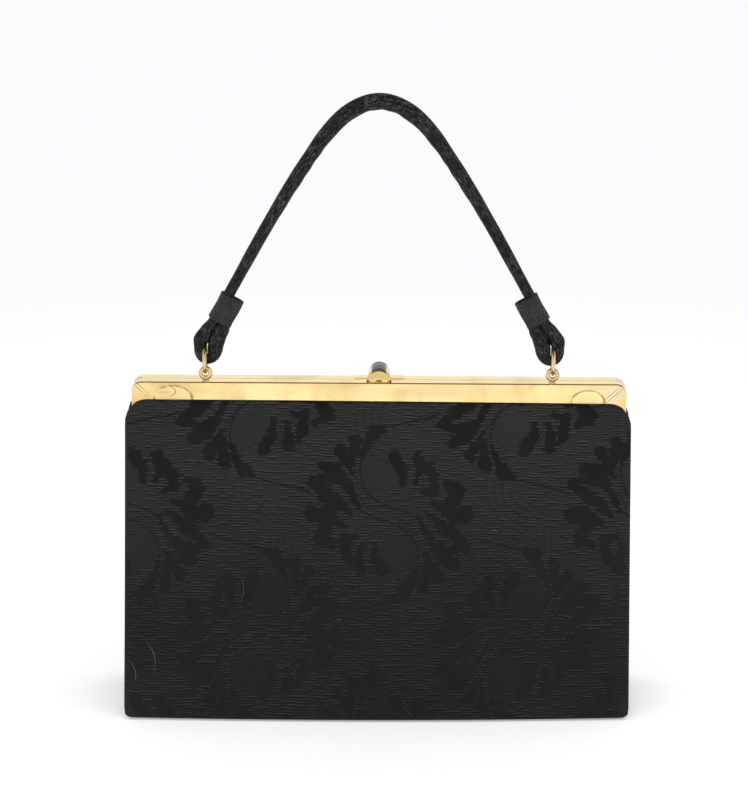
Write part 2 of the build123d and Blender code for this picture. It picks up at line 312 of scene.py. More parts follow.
# %% [markdown]
# ### Backdrop
# A world shader can tell what a ray is for. Rays from the camera and mirrored rays meet a white
# backdrop under a dim ceiling. All others meet a plain grey, so the backdrop lights the bag evenly
# and the dark cloth keeps its own colours.

# %% World
CEILING = (0.4, 0.75)
BACKDROP_WHITE = (0.975, 0.955, 0.985, 1)
CEILING_DIM = (0.16, 0.13, 0.1, 1)
PLAIN_GREY = (0.74, 0.73, 0.74, 1)
world = bpy.data.worlds.new("studio")
world.use_nodes = True
scene.world = world
background = world.node_tree.nodes["Background"]
ray = Field(world.node_tree, background.outputs[0])
seen = ray.node("ShaderNodeLightPath", (), output=0)
mirrored = ray.node("ShaderNodeLightPath", (), output=3)
direct = seen.largest(mirrored)
sky = ray.node("ShaderNodeTexCoord", (), output=0)
height = sky.node("ShaderNodeSeparateXYZ", (sky,), output=2)
backdrop = height.step(*CEILING).mix(BACKDROP_WHITE, CEILING_DIM)
feed(background, {"Color": direct.mix(PLAIN_GREY, backdrop)})
print("world nodes:", len(world.node_tree.nodes))


# %% [markdown]
# ## Making cloth pieces
# Every cloth piece is a grid of points with its place on the flat cloth beside each point. The
# flat place goes into a UV map in metres, so that weave and pattern stay on the cloth when the
# bag opens.

# %% Grid pieces
def add_piece(name, points, quads, material, flat=None):
    """A smooth mesh piece, with the flat place of each point when it is cloth."""
    mesh = bpy.data.meshes.new(name)
    mesh.from_pydata([tuple(Vector(point) * MM) for point in points], [], quads)
    mesh.materials.append(material)
    mesh.polygons.foreach_set("use_smooth", [True] * len(mesh.polygons))
    if flat:
        layer = mesh.uv_layers.new(name="cloth")
        for loop in mesh.loops:
            across, along = flat[loop.vertex_index]
            layer.data[loop.index].uv = (across * MM, along * MM)
    mesh.update()
    piece = bpy.data.objects.new(name, mesh)
    scene.collection.objects.link(piece)
    return piece


def grid_quads(rows, columns, first=0, ring=False):
    """Quads between the points of a grid, row after row. A ring's last column meets its first."""
    quads = []
    last = columns if ring else columns - 1
    for row in range(rows - 1):
        for column in range(last):
            beside = (column + 1) % columns
            low = first + row * columns
            high = low + columns
            quads.append((low + column, low + beside, high + beside, high + column))
    return quads


def spread(low, high, count):
    """Evenly spaced values from low to high."""
    return [low + (high - low) * index / (count - 1) for index in range(count)]


def turn_out(piece):
    """Make all faces look outward."""
    shape = bmesh.new()
    shape.from_mesh(piece.data)
    bmesh.ops.recalc_face_normals(shape, faces=shape.faces)
    shape.to_mesh(piece.data)
    shape.free()
    return piece


print("grid helpers ready")


# %% [markdown]
# ## Marks on the frame
# The gilt frame has been knocked and rubbed. It has three shallow dents, darker gold inside, two
# fine creases at each mitre, where the rail meets the leg, and one corner worn down to pale metal.
# The dark lines round the dents' rims and along the creases are painted shade, and so is the
# darker gold of the legs. They could be cut as shape, but the frame keeps its solid, so they are
# fields that mark the gilt.

# %% Frame marks
# Middle across and up, then half the width and the height, in millimetres
FRAME_DENTS = ((-107.6, 167.0, 4.8, 2.9), (-104.0, 163.4, 9.6, 6.6), (105.6, 162.6, 8.3, 6.0))
MITRE_FOOT = (115.0, 162.5)
MITRE_SLOPE = 1.1
MITRE_STRIP = 2.3
WORN_CORNER = (119.0, 167.0)
WORN_REACH = (2.5, 7.5)
RIM_FADE = (0.02, 0.11)
CREASE_FADE = (0.1, 0.45)
LEG_FADE = (0.0, 2.0)
BREAKS_SCALE = 160.0
FLAKES_SCALE = 420.0


def frame_marks(place):
    """The frame's dents, the painted shade lines at their rims and the mitres, the painted shade of its
    legs, its worn corner.
    """
    across = place.node("ShaderNodeSeparateXYZ", (place,), output=0) / MM
    level = place.node("ShaderNodeSeparateXYZ", (place,), output=2) / MM
    dents = across * 0.0
    lines = across * 0.0
    for middle, height, half, rise in FRAME_DENTS:
        reach = distance((across - middle) / half, (level - height) / rise)
        dents = dents.largest(1 - reach.step(0.0, 1.0))
        lines = lines.largest(1 - (reach - 1).math("ABSOLUTE").step(*RIM_FADE))
    crease = across.math("ABSOLUTE") - MITRE_FOOT[0] - (level - MITRE_FOOT[1]) * MITRE_SLOPE
    for shift in (0.0, MITRE_STRIP):
        lines = lines.largest(1 - (crease + shift).math("ABSOLUTE").step(*CREASE_FADE))
    breaks = noise(place, place, BREAKS_SCALE).step(0.36, 0.62)
    flakes = noise(place, place, FLAKES_SCALE).step(0.42, 0.58)
    rubbed = 1 - distance(across - WORN_CORNER[0], level - WORN_CORNER[1]).step(*WORN_REACH)
    return dents, lines * breaks, crease.step(*LEG_FADE), rubbed * flakes


print("dents:", len(FRAME_DENTS))


# %% [markdown]
# ## Gilt finishes
# The frame is thin brass with a bright gilt finish, a little wavy from bending and dulled by
# handling. A metal shows what it mirrors, so the waves and dents are a shallow bump and the
# handling a change of roughness. The wire of the rings has lost more of its shine.

# %% Gilt
LEG_SHADE_GILT = (0.72, 0.5, 0.2, 1)
DENT_GILT = (0.72, 0.55, 0.24, 1)
BARE_METAL = (0.74, 0.72, 0.66, 1)
SHADE_LINE_BROWN = (0.17, 0.11, 0.05, 1)
SCRATCH_SCALES = (60.0, 400.0, 900.0)
PATCH_SCALE = 55.0
WAVE_SCALE = 24.0
GILT_RELIEF = 0.0018


def gilt_finish(name, bright, worn, roughness, dent_depth=0.0):
    """Bright plated metal with slow waves, fine scratches, dulled patches and dents."""
    material, surface, start = shader(name, {"Metallic": 1.0})
    place = start.node("ShaderNodeTexCoord", (), output=3)
    patches = noise(start, place, PATCH_SCALE, 4.0).step(0.42, 0.72)
    stretched = place.node("ShaderNodeVectorMath", (place, SCRATCH_SCALES), operation="MULTIPLY")
    scratches = noise(start, stretched, 1.0, 3.0)
    relief = noise(start, place, WAVE_SCALE, 1.0) + scratches * 0.004
    plating = patches.mix(bright, worn)
    if dent_depth:
        dents, lines, leg_shade, rubbed = frame_marks(place)
        relief = relief - dents * dent_depth
        # The legs' darker gold and the brown lines at dent rims and mitre creases are painted shade.
        plating = (leg_shade * 0.3).mix(plating, LEG_SHADE_GILT)
        plating = (dents.step(0.0, 0.5) * 0.35).mix(plating, DENT_GILT)
        plating = (rubbed * 0.8).mix(plating, BARE_METAL)
        plating = (lines * 0.75).mix(plating, SHADE_LINE_BROWN)
    feed(
        surface,
        {
            "Base Color": plating,
            "Roughness": patches * 0.08 + scratches * 0.06 + (roughness - 0.03),
            "Normal": bump(relief, GILT_RELIEF, 0.6),
        },
    )
    return material


gilt = gilt_finish("gilt", (0.98, 0.79, 0.38, 1), (0.84, 0.62, 0.27, 1), 0.1, dent_depth=0.35)
gilt_wire = gilt_finish("gilt_wire", (0.78, 0.62, 0.33, 1), (0.5, 0.38, 0.2, 1), 0.2)
print("gilt nodes:", len(gilt.node_tree.nodes))


# %% [markdown]
# ### Gilding the solids
# The frame, the hinges and the catch are folded or cut metal, so they keep their solids. No real
# edge is quite sharp: a weld joins the facets along each edge, and a fine bevel then rounds it.

# %% Gilded solids
GILT_NODES = ("front_frame", "rear_frame", "hinge_rivets", "clasp_base", "clasp_pin", "catch_plate")
EDGE_ROUND = 0.25
EDGE_ANGLE = math.radians(35)
WELD_REACH = 0.001
for name in GILT_NODES:
    node = nodes[name]
    node.data.materials.clear()
    node.data.materials.append(gilt)
    weld = node.modifiers.new("weld", "WELD")
    weld.merge_threshold = WELD_REACH * MM
    soften = node.modifiers.new("soften", "BEVEL")
    soften.width = EDGE_ROUND * MM
    soften.segments = 2
    soften.limit_method = "ANGLE"
    soften.angle_limit = EDGE_ANGLE
    soften.harden_normals = True
print("gilded solids:", len(GILT_NODES))


# %% [markdown]
# ## Gilt with a painted reflection
# The clasp's lever is gilt like the frame, but a dark brown band is painted over its crown as a
# reflection of something dark. Two materials would need a seam in the mesh, so one shader does
# both, with the band as a mask: inside it the surface isn't metal.

# %% Gilt with a painted reflection
BAND_SIDE = (3.35, 3.85)
BAND_FRONT = (-4.9, -4.5)
LEVER_GILT = ((0.9, 0.7, 0.32, 1), (0.7, 0.5, 0.2, 1))
LEVER_REFLECTION_DARKS = ((0.012, 0.008, 0.005, 1), (0.04, 0.026, 0.015, 1))
LEVER_PATCHES = 300.0
LEVER_RELIEF = 0.0002
gilt_with_painted_reflection, lever_surface, start = shader("gilt_with_painted_reflection", {"Specular IOR Level": 0.06})
place = start.node("ShaderNodeTexCoord", (), output=3)
across = place.node("ShaderNodeSeparateXYZ", (place,), output=0).math("ABSOLUTE") / MM
depth = place.node("ShaderNodeSeparateXYZ", (place,), output=1) / MM
# The band is a painted reflection over the crown: dark brown, and not metal.
band = (1 - across.step(*BAND_SIDE)) * depth.step(*BAND_FRONT)
patches = noise(start, place, LEVER_PATCHES, 3.0)
feed(
    lever_surface,
    {
        "Base Color": band.mix(patches.mix(*LEVER_GILT), patches.mix(*LEVER_REFLECTION_DARKS)),
        "Metallic": 1 - band,
        "Roughness": patches * 0.1 + 0.1,
        "Normal": bump(patches, LEVER_RELIEF, 0.5),
    },
)
print("lacquered gilt nodes:", len(gilt_with_painted_reflection.node_tree.nodes))


# %% [markdown]
# ## Clasp lever
# The lever is a hollow half-round of thin brass that closes over the catch. Its nose is a plain
# half-disc that hides the hinge, cut short so that it clears the rail as it lifts. One outline of
# radius against depth runs from the nose to the open rear end and back inside, and is swept over
# the half turn.

# %% Lever
LEVER_MIDDLE = Vector((0.0, 0.0, 172.3))
LEVER_LIFT = 0.2
LEVER_PIN = -4.4
NOSE_LIFT = 0.9
LEVER_TURNS = 48
# Depth and radius: nose, shoulder, barrel, rear rim, then the inside
LEVER_OUTLINE = ((-6.0, 0.01), (-6.0, 2.6), (-5.95, 4.6), (-5.85, 5.4), (-5.65, 5.7), (-5.2, 6.0))
LEVER_OUTLINE += ((-4.6, 6.25), (-4.0, 6.36), (-3.0, 6.34), (4.0, 5.94), (12.8, 5.46), (13.05, 5.36))
LEVER_OUTLINE += ((13.1, 5.2), (13.1, 4.9), (12.9, 4.78), (4.0, 5.28))
LEVER_OUTLINE += ((-3.4, 5.7), (-5.2, 5.2), (-5.3, 0.01))
LEVER_CREASE = math.radians(40)

points = []
for depth, radius in LEVER_OUTLINE:
    for angle in spread(0.0, math.pi, LEVER_TURNS):
        rise = max(LEVER_LIFT if depth > LEVER_PIN else NOSE_LIFT, radius * math.sin(angle))
        points.append(LEVER_MIDDLE + Vector((radius * math.cos(angle), depth, rise)))
quads = grid_quads(len(LEVER_OUTLINE), LEVER_TURNS)
for edge in (0, LEVER_TURNS - 1):
    quads.append(tuple(row * LEVER_TURNS + edge for row in range(len(LEVER_OUTLINE))))
lever = turn_out(add_piece("lift_lever", points, quads, gilt_with_painted_reflection))
crease = lever.modifiers.new("crease", "EDGE_SPLIT")
crease.split_angle = LEVER_CREASE
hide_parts("clasp_lever")
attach(lever, "clasp")
print("lever faces:", len(lever.data.polygons))


# %% [markdown]
# ## Bent wire and turned feet
# A ring is thick wire bent round, with a fine joint where its two ends meet. A torus from the menu
# has no joint, so a tube is drawn round a circle here, and its radius dips at the joint. A small
# turned form is an outline swept round an upright axis.

# %% Wire and turned forms
WIRE_TURNS = 96
WIRE_SIDES = 20
JOINT_DEPTH = 0.12
JOINT_HALF = math.radians(3)


def wire_circle(middle, radius, wire, across, joint_at):
    """Points and quads of a wire bent round into a circle, square to one axis."""
    points = []
    for turn in range(WIRE_TURNS):
        angle = math.tau * turn / WIRE_TURNS
        off_joint = abs((angle - joint_at + math.pi) % math.tau - math.pi)
        dip = JOINT_DEPTH * max(0.0, 1 - off_joint / JOINT_HALF)
        for side in range(WIRE_SIDES):
            bend = math.tau * side / WIRE_SIDES
            out = radius + (wire - dip) * math.cos(bend)
            along = (wire - dip) * math.sin(bend)
            level = out * math.sin(angle)
            if across == "X":
                offset = Vector((along, out * math.cos(angle), level))
            else:
                offset = Vector((out * math.cos(angle), along, level))
            points.append(middle + offset)
    quads = grid_quads(WIRE_TURNS, WIRE_SIDES, ring=True)
    last = (WIRE_TURNS - 1) * WIRE_SIDES
    for side in range(WIRE_SIDES):
        beside = (side + 1) % WIRE_SIDES
        quads.append((last + side, last + beside, beside, side))
    return points, quads


def turned(middle, profile, sides=32):
    """Points and quads of a form turned about an upright axis, from (radius, level) pairs."""
    points = []
    for radius, level in profile:
        for side in range(sides):
            angle = math.tau * side / sides
            points.append(middle + Vector((radius * math.cos(angle), radius * math.sin(angle), level)))
    return points, grid_quads(len(profile), sides, ring=True)


print("points in a wire circle:", WIRE_TURNS * WIRE_SIDES)


# %% [markdown]
# ## Rings and eyes
# Each end of the handle hangs from a ring that passes through an eye on the rail. The eye is wire
# too, on a short stem with a flared foot. Sizes and places come from the solids, so both fit the
# frame as it was made.

# %% Rings and eyes
RING_WIRE = 1.05
RING_JOINT = math.radians(155)
EYE_STOCK = 1.12
EYE_JOINT = math.radians(270)
EYE_STEM = (0.8, 0.85)
STEM_NECK = 0.2
# Radius and level from the stem's root down to the rail
EYE_FOOT = [(1.0, 0.8), (1.6, 0.62), (1.85, 0.42), (1.9, 0.2), (1.9, 0.0)]
for side_name in ("left", "right"):
    low, high = (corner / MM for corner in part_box(f"handle_ring_{side_name}"))
    ring_middle = (low + high) / 2
    ring_radius = (high.z - low.z) / 2 - RING_WIRE
    points, quads = wire_circle(ring_middle, ring_radius, RING_WIRE, "X", RING_JOINT)
    ring = turn_out(add_piece(f"wire_ring_{side_name}", points, quads, gilt_wire))
    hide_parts(f"handle_ring_{side_name}")
    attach(ring, f"ring_{side_name}")

    low, high = (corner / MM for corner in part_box(f"handle_eye_{side_name}"))
    eye_radius = (high.x - low.x) / 2 - EYE_STOCK
    eye_middle = Vector(((low.x + high.x) / 2, (low.y + high.y) / 2, high.z - EYE_STOCK - eye_radius))
    points, quads = wire_circle(eye_middle, eye_radius, EYE_STOCK, "Y", EYE_JOINT)
    foot = Vector((eye_middle.x, eye_middle.y, low.z))
    stem_top = eye_middle.z - eye_radius - low.z
    stem = [(EYE_STEM[0], stem_top), (EYE_STEM[1], stem_top - STEM_NECK)]
    more_points, more_quads = turned(foot, stem + EYE_FOOT)
    quads = quads + [tuple(index + len(points) for index in quad) for quad in more_quads]
    eye = turn_out(add_piece(f"wire_eye_{side_name}", points + more_points, quads, gilt_wire))
    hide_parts(f"handle_eye_{side_name}")
    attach(eye, "body")
print("ring radius:", round(ring_radius, 2), "mm")


# %% [markdown]
# ## Brocade
# The walls are black brocade: a ribbed ground with palmettes of dark satin, which stand in rows
# with a half drop, each row a mirror image of the next. The pattern is a formula of the flat
# place on the cloth. All palmettes fold onto one, and so do its two halves, which are alike when
# turned half round. A half is then a few dozen round-ended lobes.

# %% Where a point lies in its palmette
REPEAT_ACROSS = 131.0
REPEAT_UP = 122.6
PALMETTE_ACROSS = 6.0
PALMETTE_UP = 105.3
HALF_TILT = 0.026


def palmette_place(across, up):
    """Millimetres across and up from the nearest palmette's middle, turned to its left half."""
    near_x = across.fold(REPEAT_ACROSS, PALMETTE_ACROSS)
    near_y = up.fold(REPEAT_UP, PALMETTE_UP)
    far_x = -across.fold(REPEAT_ACROSS, PALMETTE_ACROSS + REPEAT_ACROSS / 2)
    far_y = up.fold(REPEAT_UP, PALMETTE_UP + REPEAT_UP / 2)
    mirrored_row = distance(far_x, far_y) < distance(near_x, near_y)
    x = near_x + (far_x - near_x) * mirrored_row
    y = near_y + (far_y - near_y) * mirrored_row
    half_turn = 1 - (x + y * HALF_TILT > 0.0) * 2
    return x * half_turn, y * half_turn


def lobe(place, foot, tip, foot_radius, tip_radius):
    """Millimetres outside a round-ended lobe that widens or narrows from its foot to its tip."""
    run = Vector((*tip, 0)) - Vector((*foot, 0))
    from_foot = place.node("ShaderNodeVectorMath", (place, (*foot, 0)), operation="SUBTRACT")
    share = from_foot.node(
        "ShaderNodeVectorMath", (from_foot, run / run.length_squared), output=1, operation="DOT_PRODUCT"
    ).math("ADD", 0.0, clamp=True)
    nearest = share.node("ShaderNodeVectorMath", {0: run, 3: share}, operation="SCALE")
    away = nearest.node("ShaderNodeVectorMath", (from_foot, nearest), output=1, operation="DISTANCE")
    return share * (foot_radius - tip_radius) + away - foot_radius


def nearest_lobe(place, lobes):
    """Millimetres outside the nearest of several lobes."""
    nearest = lobe(place, *lobes[0])
    for shape in lobes[1:]:
        nearest = nearest.smallest(lobe(place, *shape))
    return nearest


print("palmettes stand", REPEAT_ACROSS, "by", REPEAT_UP, "mm apart")


# %% [markdown]
# ### Lobes of a palmette
# A leaf is drawn with two or three lobes in a row, thick at its scalloped tip and thin where it
# runs into the stem. The dotted veins between the leaves and the thin tendrils that tie one
# palmette to the next are lobes too, long and narrow.

# %% Lobes
# Foot and tip in millimetres from the palmette's middle, then the radius at each
SATIN_LOBES = (
    ((-3.0, 42.6), (-7.9, 40.6), 1.1, 2.8),
    ((-7.9, 40.6), (-11.9, 32.9), 2.8, 1.4),
    ((-11.9, 32.9), (-14.3, 27.1), 1.4, 0.5),
    ((-18.4, 19.8), (-25.0, 31.8), 0.3, 2.2),
    ((-18.8, 24.9), (-17.2, 36.2), 1.2, 2.6),
    ((-33.0, 24.2), (-26.4, 22.3), 2.2, 2.4),
    ((-26.4, 22.3), (-21.3, 14.7), 2.0, 1.5),
    ((-21.3, 14.7), (-15.2, 3.1), 1.5, 0.4),
    ((-39.1, 16.2), (-30.4, 18.3), 1.6, 1.9),
    ((-30.4, 18.3), (-23.2, 15.4), 1.8, 1.3),
    ((-39.1, 15.8), (-31.9, 9.6), 1.3, 2.6),
    ((-31.9, 9.6), (-26.0, 6.0), 2.9, 2.4),
    ((-26.0, 6.0), (-19.2, 0.1), 2.4, 0.5),
    ((-39.1, -0.2), (-32.2, 0.1), 3.2, 3.6),
    ((-32.2, -0.6), (-22.4, -5.7), 3.4, 0.5),
    ((-29.7, -4.2), (-34.4, -11.5), 2.2, 3.2),
    ((-34.4, -13.0), (-28.2, -15.9), 2.6, 1.0),
    ((-22.4, -12.6), (-21.7, -18.8), 1.8, 2.2),
    ((-21.7, -18.8), (-19.5, -24.6), 2.2, 1.2),
    ((-22.4, -11.9), (-16.6, -11.1), 1.6, 0.6),
    ((-13.4, -15.5), (-15.9, -23.2), 0.6, 2.0),
    ((-15.9, -23.2), (-14.4, -27.5), 2.0, 2.6),
    ((-7.0, -15.5), (-6.8, -22.4), 0.7, 2.0),
    ((-6.8, -22.4), (-2.1, -28.6), 2.0, 2.6),
)
TENDRILS = (
    ((0.6, -43.7), (-17.5, -48.3), 0.42, 0.42),
    ((-40.0, 10.8), (-54.0, 15.8), 0.42, 0.42),
)
VEINS = (
    ((-16.3, 34.0), (-16.6, 18.3), 0.9, 0.8),
    ((-16.6, 18.3), (-10.0, 7.4), 0.8, 0.6),
    ((-25.3, 25.6), (-18.8, 12.5), 0.9, 0.9),
    ((-18.8, 12.5), (-11.0, 3.6), 0.9, 0.6),
    ((-30.4, 13.2), (-20.3, 2.3), 0.7, 0.7),
    ((-27.5, 2.3), (-21.0, -2.8), 0.6, 0.6),
    ((-17.4, -15.1), (-18.4, -21.5), 0.7, 0.7),
    ((-11.9, -15.6), (-9.4, -28.2), 0.7, 0.7),
)
print("lobes in a palmette:", 2 * len(SATIN_LOBES))


# %% [markdown]
# ### Feathered arcs
# Beside each palmette the ground carries a fan of fine arcs, dark and pale in turn. A fan is a
# wave over the distance from one point, cut off near that point, far from it and on one side.

# %% Feathered arcs
FEATHER_PITCH = 3.9
FEATHER_MIDDLE = (-60.0, 13.7)
FEATHER_NEAR = (4.0, 10.0)
FEATHER_FAR = (22.0, 27.0)
FEATHER_SIDE = (-7.0, 3.0)


def feather_arcs(across, up, middle, way, turn):
    """Arcs beside each palmette of a row, from -1 where dark to 1 where pale."""
    x = ((across - middle[0]) * (way * turn)).fold(REPEAT_ACROSS, FEATHER_MIDDLE[0])
    y = ((up - middle[1]) * turn).fold(REPEAT_UP, FEATHER_MIDDLE[1])
    reach = distance(x, y)
    band = reach.step(*FEATHER_NEAR) * (1 - reach.step(*FEATHER_FAR)) * (1 - x.step(*FEATHER_SIDE))
    return (reach.wave(FEATHER_PITCH) * 2 - 1) * band


print("arcs stand", FEATHER_PITCH, "mm apart")


# %% [markdown]
# ### Weave of the brocade
# The ground is ribbed weft with paler dashes where a thread floats, and each dash has a painted
# highlight on its upper half and a painted shadow under it. The satin is smooth and darker, and
# its edge is ragged, because a loom can only end a shape at a thread. Two fine dark lines run in
# an S through each palmette, round a smooth disc in each bend, and feathered arcs fill the space
# between palmettes. Light from above is painted in: the cloth is darker toward the bottom and
# lighter toward the top, and its pattern is fainter toward the bottom. The sides are rubbed pale
# where the cloth folds over its board.

# %% Brocade
RIB = 1.45
WARP = 0.95
THREAD = 0.5
DASH_RATE = 0.16
ROW_JUMP = 5.37
RIB_DRIFT = 3.0
FRINGE = 6.5
LEAF_EDGE = (0.55, 1.15)
VEIN_EDGE = (-0.1, 0.3)
TENDRIL_EDGE = (-0.1, 0.2)
PAINTED_LIGHT_RISE = (35.0, 150.0)
RUBBED_EDGE = (120.0, 128.0)
RUBBED_FOOT = (4.0, 20.0)
SIDE_LIMIT = 140.0
STEM_MIDDLE = (2.8, 21.8)
# Radius of each line of the S, and the level where it ends
STEM_RADII = ((17.5, 31.0), (25.5, 17.0))
STEM_FADE = (0.25, 0.5)
DISC_MIDDLE = (-4.3, 19.8)
DISC_EDGE = (9.0, 10.2)
BLACKS = ((0.0065, 0.0065, 0.0069, 1), (0.028, 0.028, 0.0295, 1))
PALE_THREAD = (0.05, 0.05, 0.052, 1)
DARK_SATIN = (0.003, 0.0032, 0.0033, 1)
WEAVE_RELIEF = 0.00028


def brocade_finish():
    """Ribbed ground, satin palmettes, dotted veins and feathered arcs, all in black."""
    material, surface, start = shader("brocade", {"Specular IOR Level": 0.14})
    across, up = flat_place(start)
    drift = noise(start, vector(across, up), 0.06, 2.0) - 0.5
    rib_level = up + drift * RIB_DRIFT
    row = (rib_level / RIB).math("ROUND")
    over = rib_level / RIB - row
    thread_up = (rib_level / THREAD).math("ROUND") * THREAD
    thread_across = (across / THREAD).math("ROUND") * THREAD
    x, y = palmette_place(thread_across, thread_up)
    place = vector(x, y)

    dash = noise(start, vector(across * DASH_RATE, row * ROW_JUMP), 1.0, 3.0)
    fringe = (dash - 0.5) * FRINGE
    # Painted light from above, 0 at the bottom and 1 at the top: it lightens the ground and strengthens
    # the pattern toward the top.
    painted_top_light = up.step(*PAINTED_LIGHT_RISE)
    satin = 1 - (nearest_lobe(place, SATIN_LOBES) + fringe).step(*LEAF_EDGE)
    veins = 1 - nearest_lobe(place, VEINS).step(*VEIN_EDGE)
    stem = distance(x - STEM_MIDDLE[0], y - STEM_MIDDLE[1])
    lines = 1 - nearest_lobe(place, TENDRILS).step(*TENDRIL_EDGE)
    for radius, top in STEM_RADII:
        lines = lines.largest((1 - (stem - radius).math("ABSOLUTE").step(*STEM_FADE)) * (y < top))
    upper = distance(x - DISC_MIDDLE[0], y - DISC_MIDDLE[1])
    lower = distance(x + DISC_MIDDLE[0], y + DISC_MIDDLE[1])
    disc = 1 - upper.smallest(lower).step(*DISC_EDGE)
    straight_row = (PALMETTE_ACROSS, PALMETTE_UP)
    mirrored_row = (PALMETTE_ACROSS + REPEAT_ACROSS / 2, PALMETTE_UP + REPEAT_UP / 2)
    rows = ((straight_row, 1), (mirrored_row, -1))
    arcs = [feather_arcs(across, up, middle, way, turn) for middle, way in rows for turn in (1, -1)]
    feathers = sum(arcs[1:], arcs[0]) * (painted_top_light * 0.7 + 0.3)

    rib = rib_level.wave(RIB)
    warp = across.wave(WARP)
    plain = (1 - satin) * (1 - disc)
    ridge = dash.step(0.44, 0.6) * plain * (1 - feathers * feathers * 0.5)
    # Paler on the upper half of each float, from the thread and a painted highlight; darker under it, a
    # painted shadow.
    float_highlights = ridge * over.step(-0.1, 0.1) * (1 - over.step(0.3, 0.5))
    shadow_under_floats = ridge * over.step(-0.5, -0.4) * (1 - over.step(-0.2, 0.0))
    dots = veins * (across + row * WARP).wave(WARP * 2).step(0.35, 0.7) * rib.step(0.2, 0.6)
    shade = noise(start, vector(across, up), 0.02, 3.0)
    side = across.math("ABSOLUTE")
    edge = side.step(*RUBBED_EDGE) * (side < SIDE_LIMIT) * (0.9 - up.step(*RUBBED_FOOT) * 0.65)
    rubbed = edge * noise(start, vector(across, up), 0.9, 3.0).step(0.42, 0.66)
    lifted = float_highlights * (shade * 0.6 + painted_top_light * 0.35 + 0.1)
    pale = (lifted + dots * 0.4 + feathers.largest(0.0) * 0.08 + rubbed * 0.6).smallest(1.0)
    dark = satin.largest(lines * 0.9) * (painted_top_light * 0.42 + 0.38) * (drift * 0.6 + 1)
    dark = dark.largest(shadow_under_floats * 0.8).largest(veins * (1 - dots) * 0.5)
    dark = dark.largest((-feathers) * (1 - rib.step(0.3, 0.7)) * 0.4)
    # The ground's black, painted lighter toward the top as light from above.
    tone = (warp * 0.25 + shade * 0.75) * 0.5 + painted_top_light * 0.5
    threads = pale.mix(tone.mix(*BLACKS), PALE_THREAD)
    relief = rib * 0.4 + warp * 0.2 + ridge * rib
    feed(
        surface,
        {
            "Base Color": dark.mix(threads, DARK_SATIN),
            "Roughness": 0.75 - satin * 0.12,
            "Normal": bump(relief, WEAVE_RELIEF, 0.5),
        },
    )
    return material


brocade = brocade_finish()
print("brocade nodes:", len(brocade.node_tree.nodes))


# %% [markdown]
# ## Shape of a wall
# Each wall is cloth over a stiff board, a little padded, with round corners where it tucks under
# the frame. It leans in toward the mouth and bows out a little at its middle. A grid follows the
# wall, with its lines close together near the edge, where the cloth turns.

# %% Wall shape
BASE_DEPTH = 60.0
MOUTH_DEPTH = 18.6
BASE_FLARE = 1.5
CROWN_LOW = 3.5
CROWN_HIGH = 0.6
PANEL_THICKNESS = 2.2
TOP_CORNER = 11.0
BOTTOM_CORNER = 4.0
EDGE_ROLL = 2.0
EDGE_STEPS = (0.0, 0.12, 0.35, 0.7, 1.15, 1.7, 2.4)
panel_low, panel_high = (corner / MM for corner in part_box("front_panel"))
PANEL_LIFT = panel_low.z
PANEL_TOP = panel_high.z
HALF_WIDTH = 127.0


def wall_depth(level):
    """Distance of the wall's outer face from the middle plane, at the bag's sides."""
    return (BASE_DEPTH + (MOUTH_DEPTH - BASE_DEPTH) * level / PANEL_TOP) / 2


def wall_crown(level):
    """How far the wall bows out at its middle."""
    return CROWN_LOW + (CROWN_HIGH - CROWN_LOW) * level / PANEL_TOP


def side_edge(level):
    """Half the wall's width at one level, before its corners are rounded."""
    return HALF_WIDTH + BASE_FLARE * (PANEL_TOP - level) / (PANEL_TOP - PANEL_LIFT)


def rounding(short, radius):
    """How far a round corner has come in, this short of the edge that it meets."""
    return radius - math.sqrt(max(0.0, radius**2 - (radius - min(short, radius)) ** 2))


def half_row(level):
    """Half the wall's width at one level, with its corners rounded."""
    corner = rounding(PANEL_TOP - level, TOP_CORNER) + rounding(level - PANEL_LIFT, BOTTOM_CORNER)
    return side_edge(level) - corner


def from_edge(across, level):
    """Distance from a point on the wall to its outline."""
    edge = min(side_edge(level) - abs(across), PANEL_TOP - level, level - PANEL_LIFT)
    for short, radius in ((PANEL_TOP - level, TOP_CORNER), (level - PANEL_LIFT, BOTTOM_CORNER)):
        into = abs(across) - side_edge(level) + radius
        if into > 0 and short < radius:
            edge = radius - math.hypot(into, radius - short)
    return max(0.0, edge)


def graded(low, high, count):
    """Values from low to high, close together at both ends."""
    inner = spread(low + EDGE_STEPS[-1], high - EDGE_STEPS[-1], count)
    steps = EDGE_STEPS[:-1]
    return [low + step for step in steps] + inner + [high - step for step in reversed(steps)]


print("wall:", round(2 * side_edge(PANEL_LIFT), 1), "by", round(PANEL_TOP - PANEL_LIFT, 1), "mm")


# %% [markdown]
# ## Settling of the walls
# An old bag no longer stands square. Its left side has sagged, the foot of the front wall has
# spread forward, and the cloth turns in under it at the ground. The cloth is also uneven over its
# padding. Sculpting could give this, but a few formulas do it the same way each time.

# %% Settling
SAG_LEFT = 1.4
SAG_RIGHT = 0.5
FOOT_DROP = 0.35
FOOT_FLARE = (2.4, 4.0)
MOUTH_RISE = 0.9
MOUTH_SKEW = 1.1
TUCK_HEIGHT = 4.5
TUCK_DEPTH = 2.2
PUFF = 0.14
HEM_PUFF = 0.12
HEM_HEIGHT = 9.0


def wall_puff(across, level):
    """Slow unevenness of cloth over its padding, with short puckers near the hem."""
    waves = math.sin(across / 31 + level / 47) + math.sin(across / 17 - level / 23 + 1.3) * 0.5
    hem = math.exp(-(level - PANEL_LIFT) / HEM_HEIGHT) * math.sin(across / 6.1 + math.sin(across / 19))
    return PUFF * waves + HEM_PUFF * hem


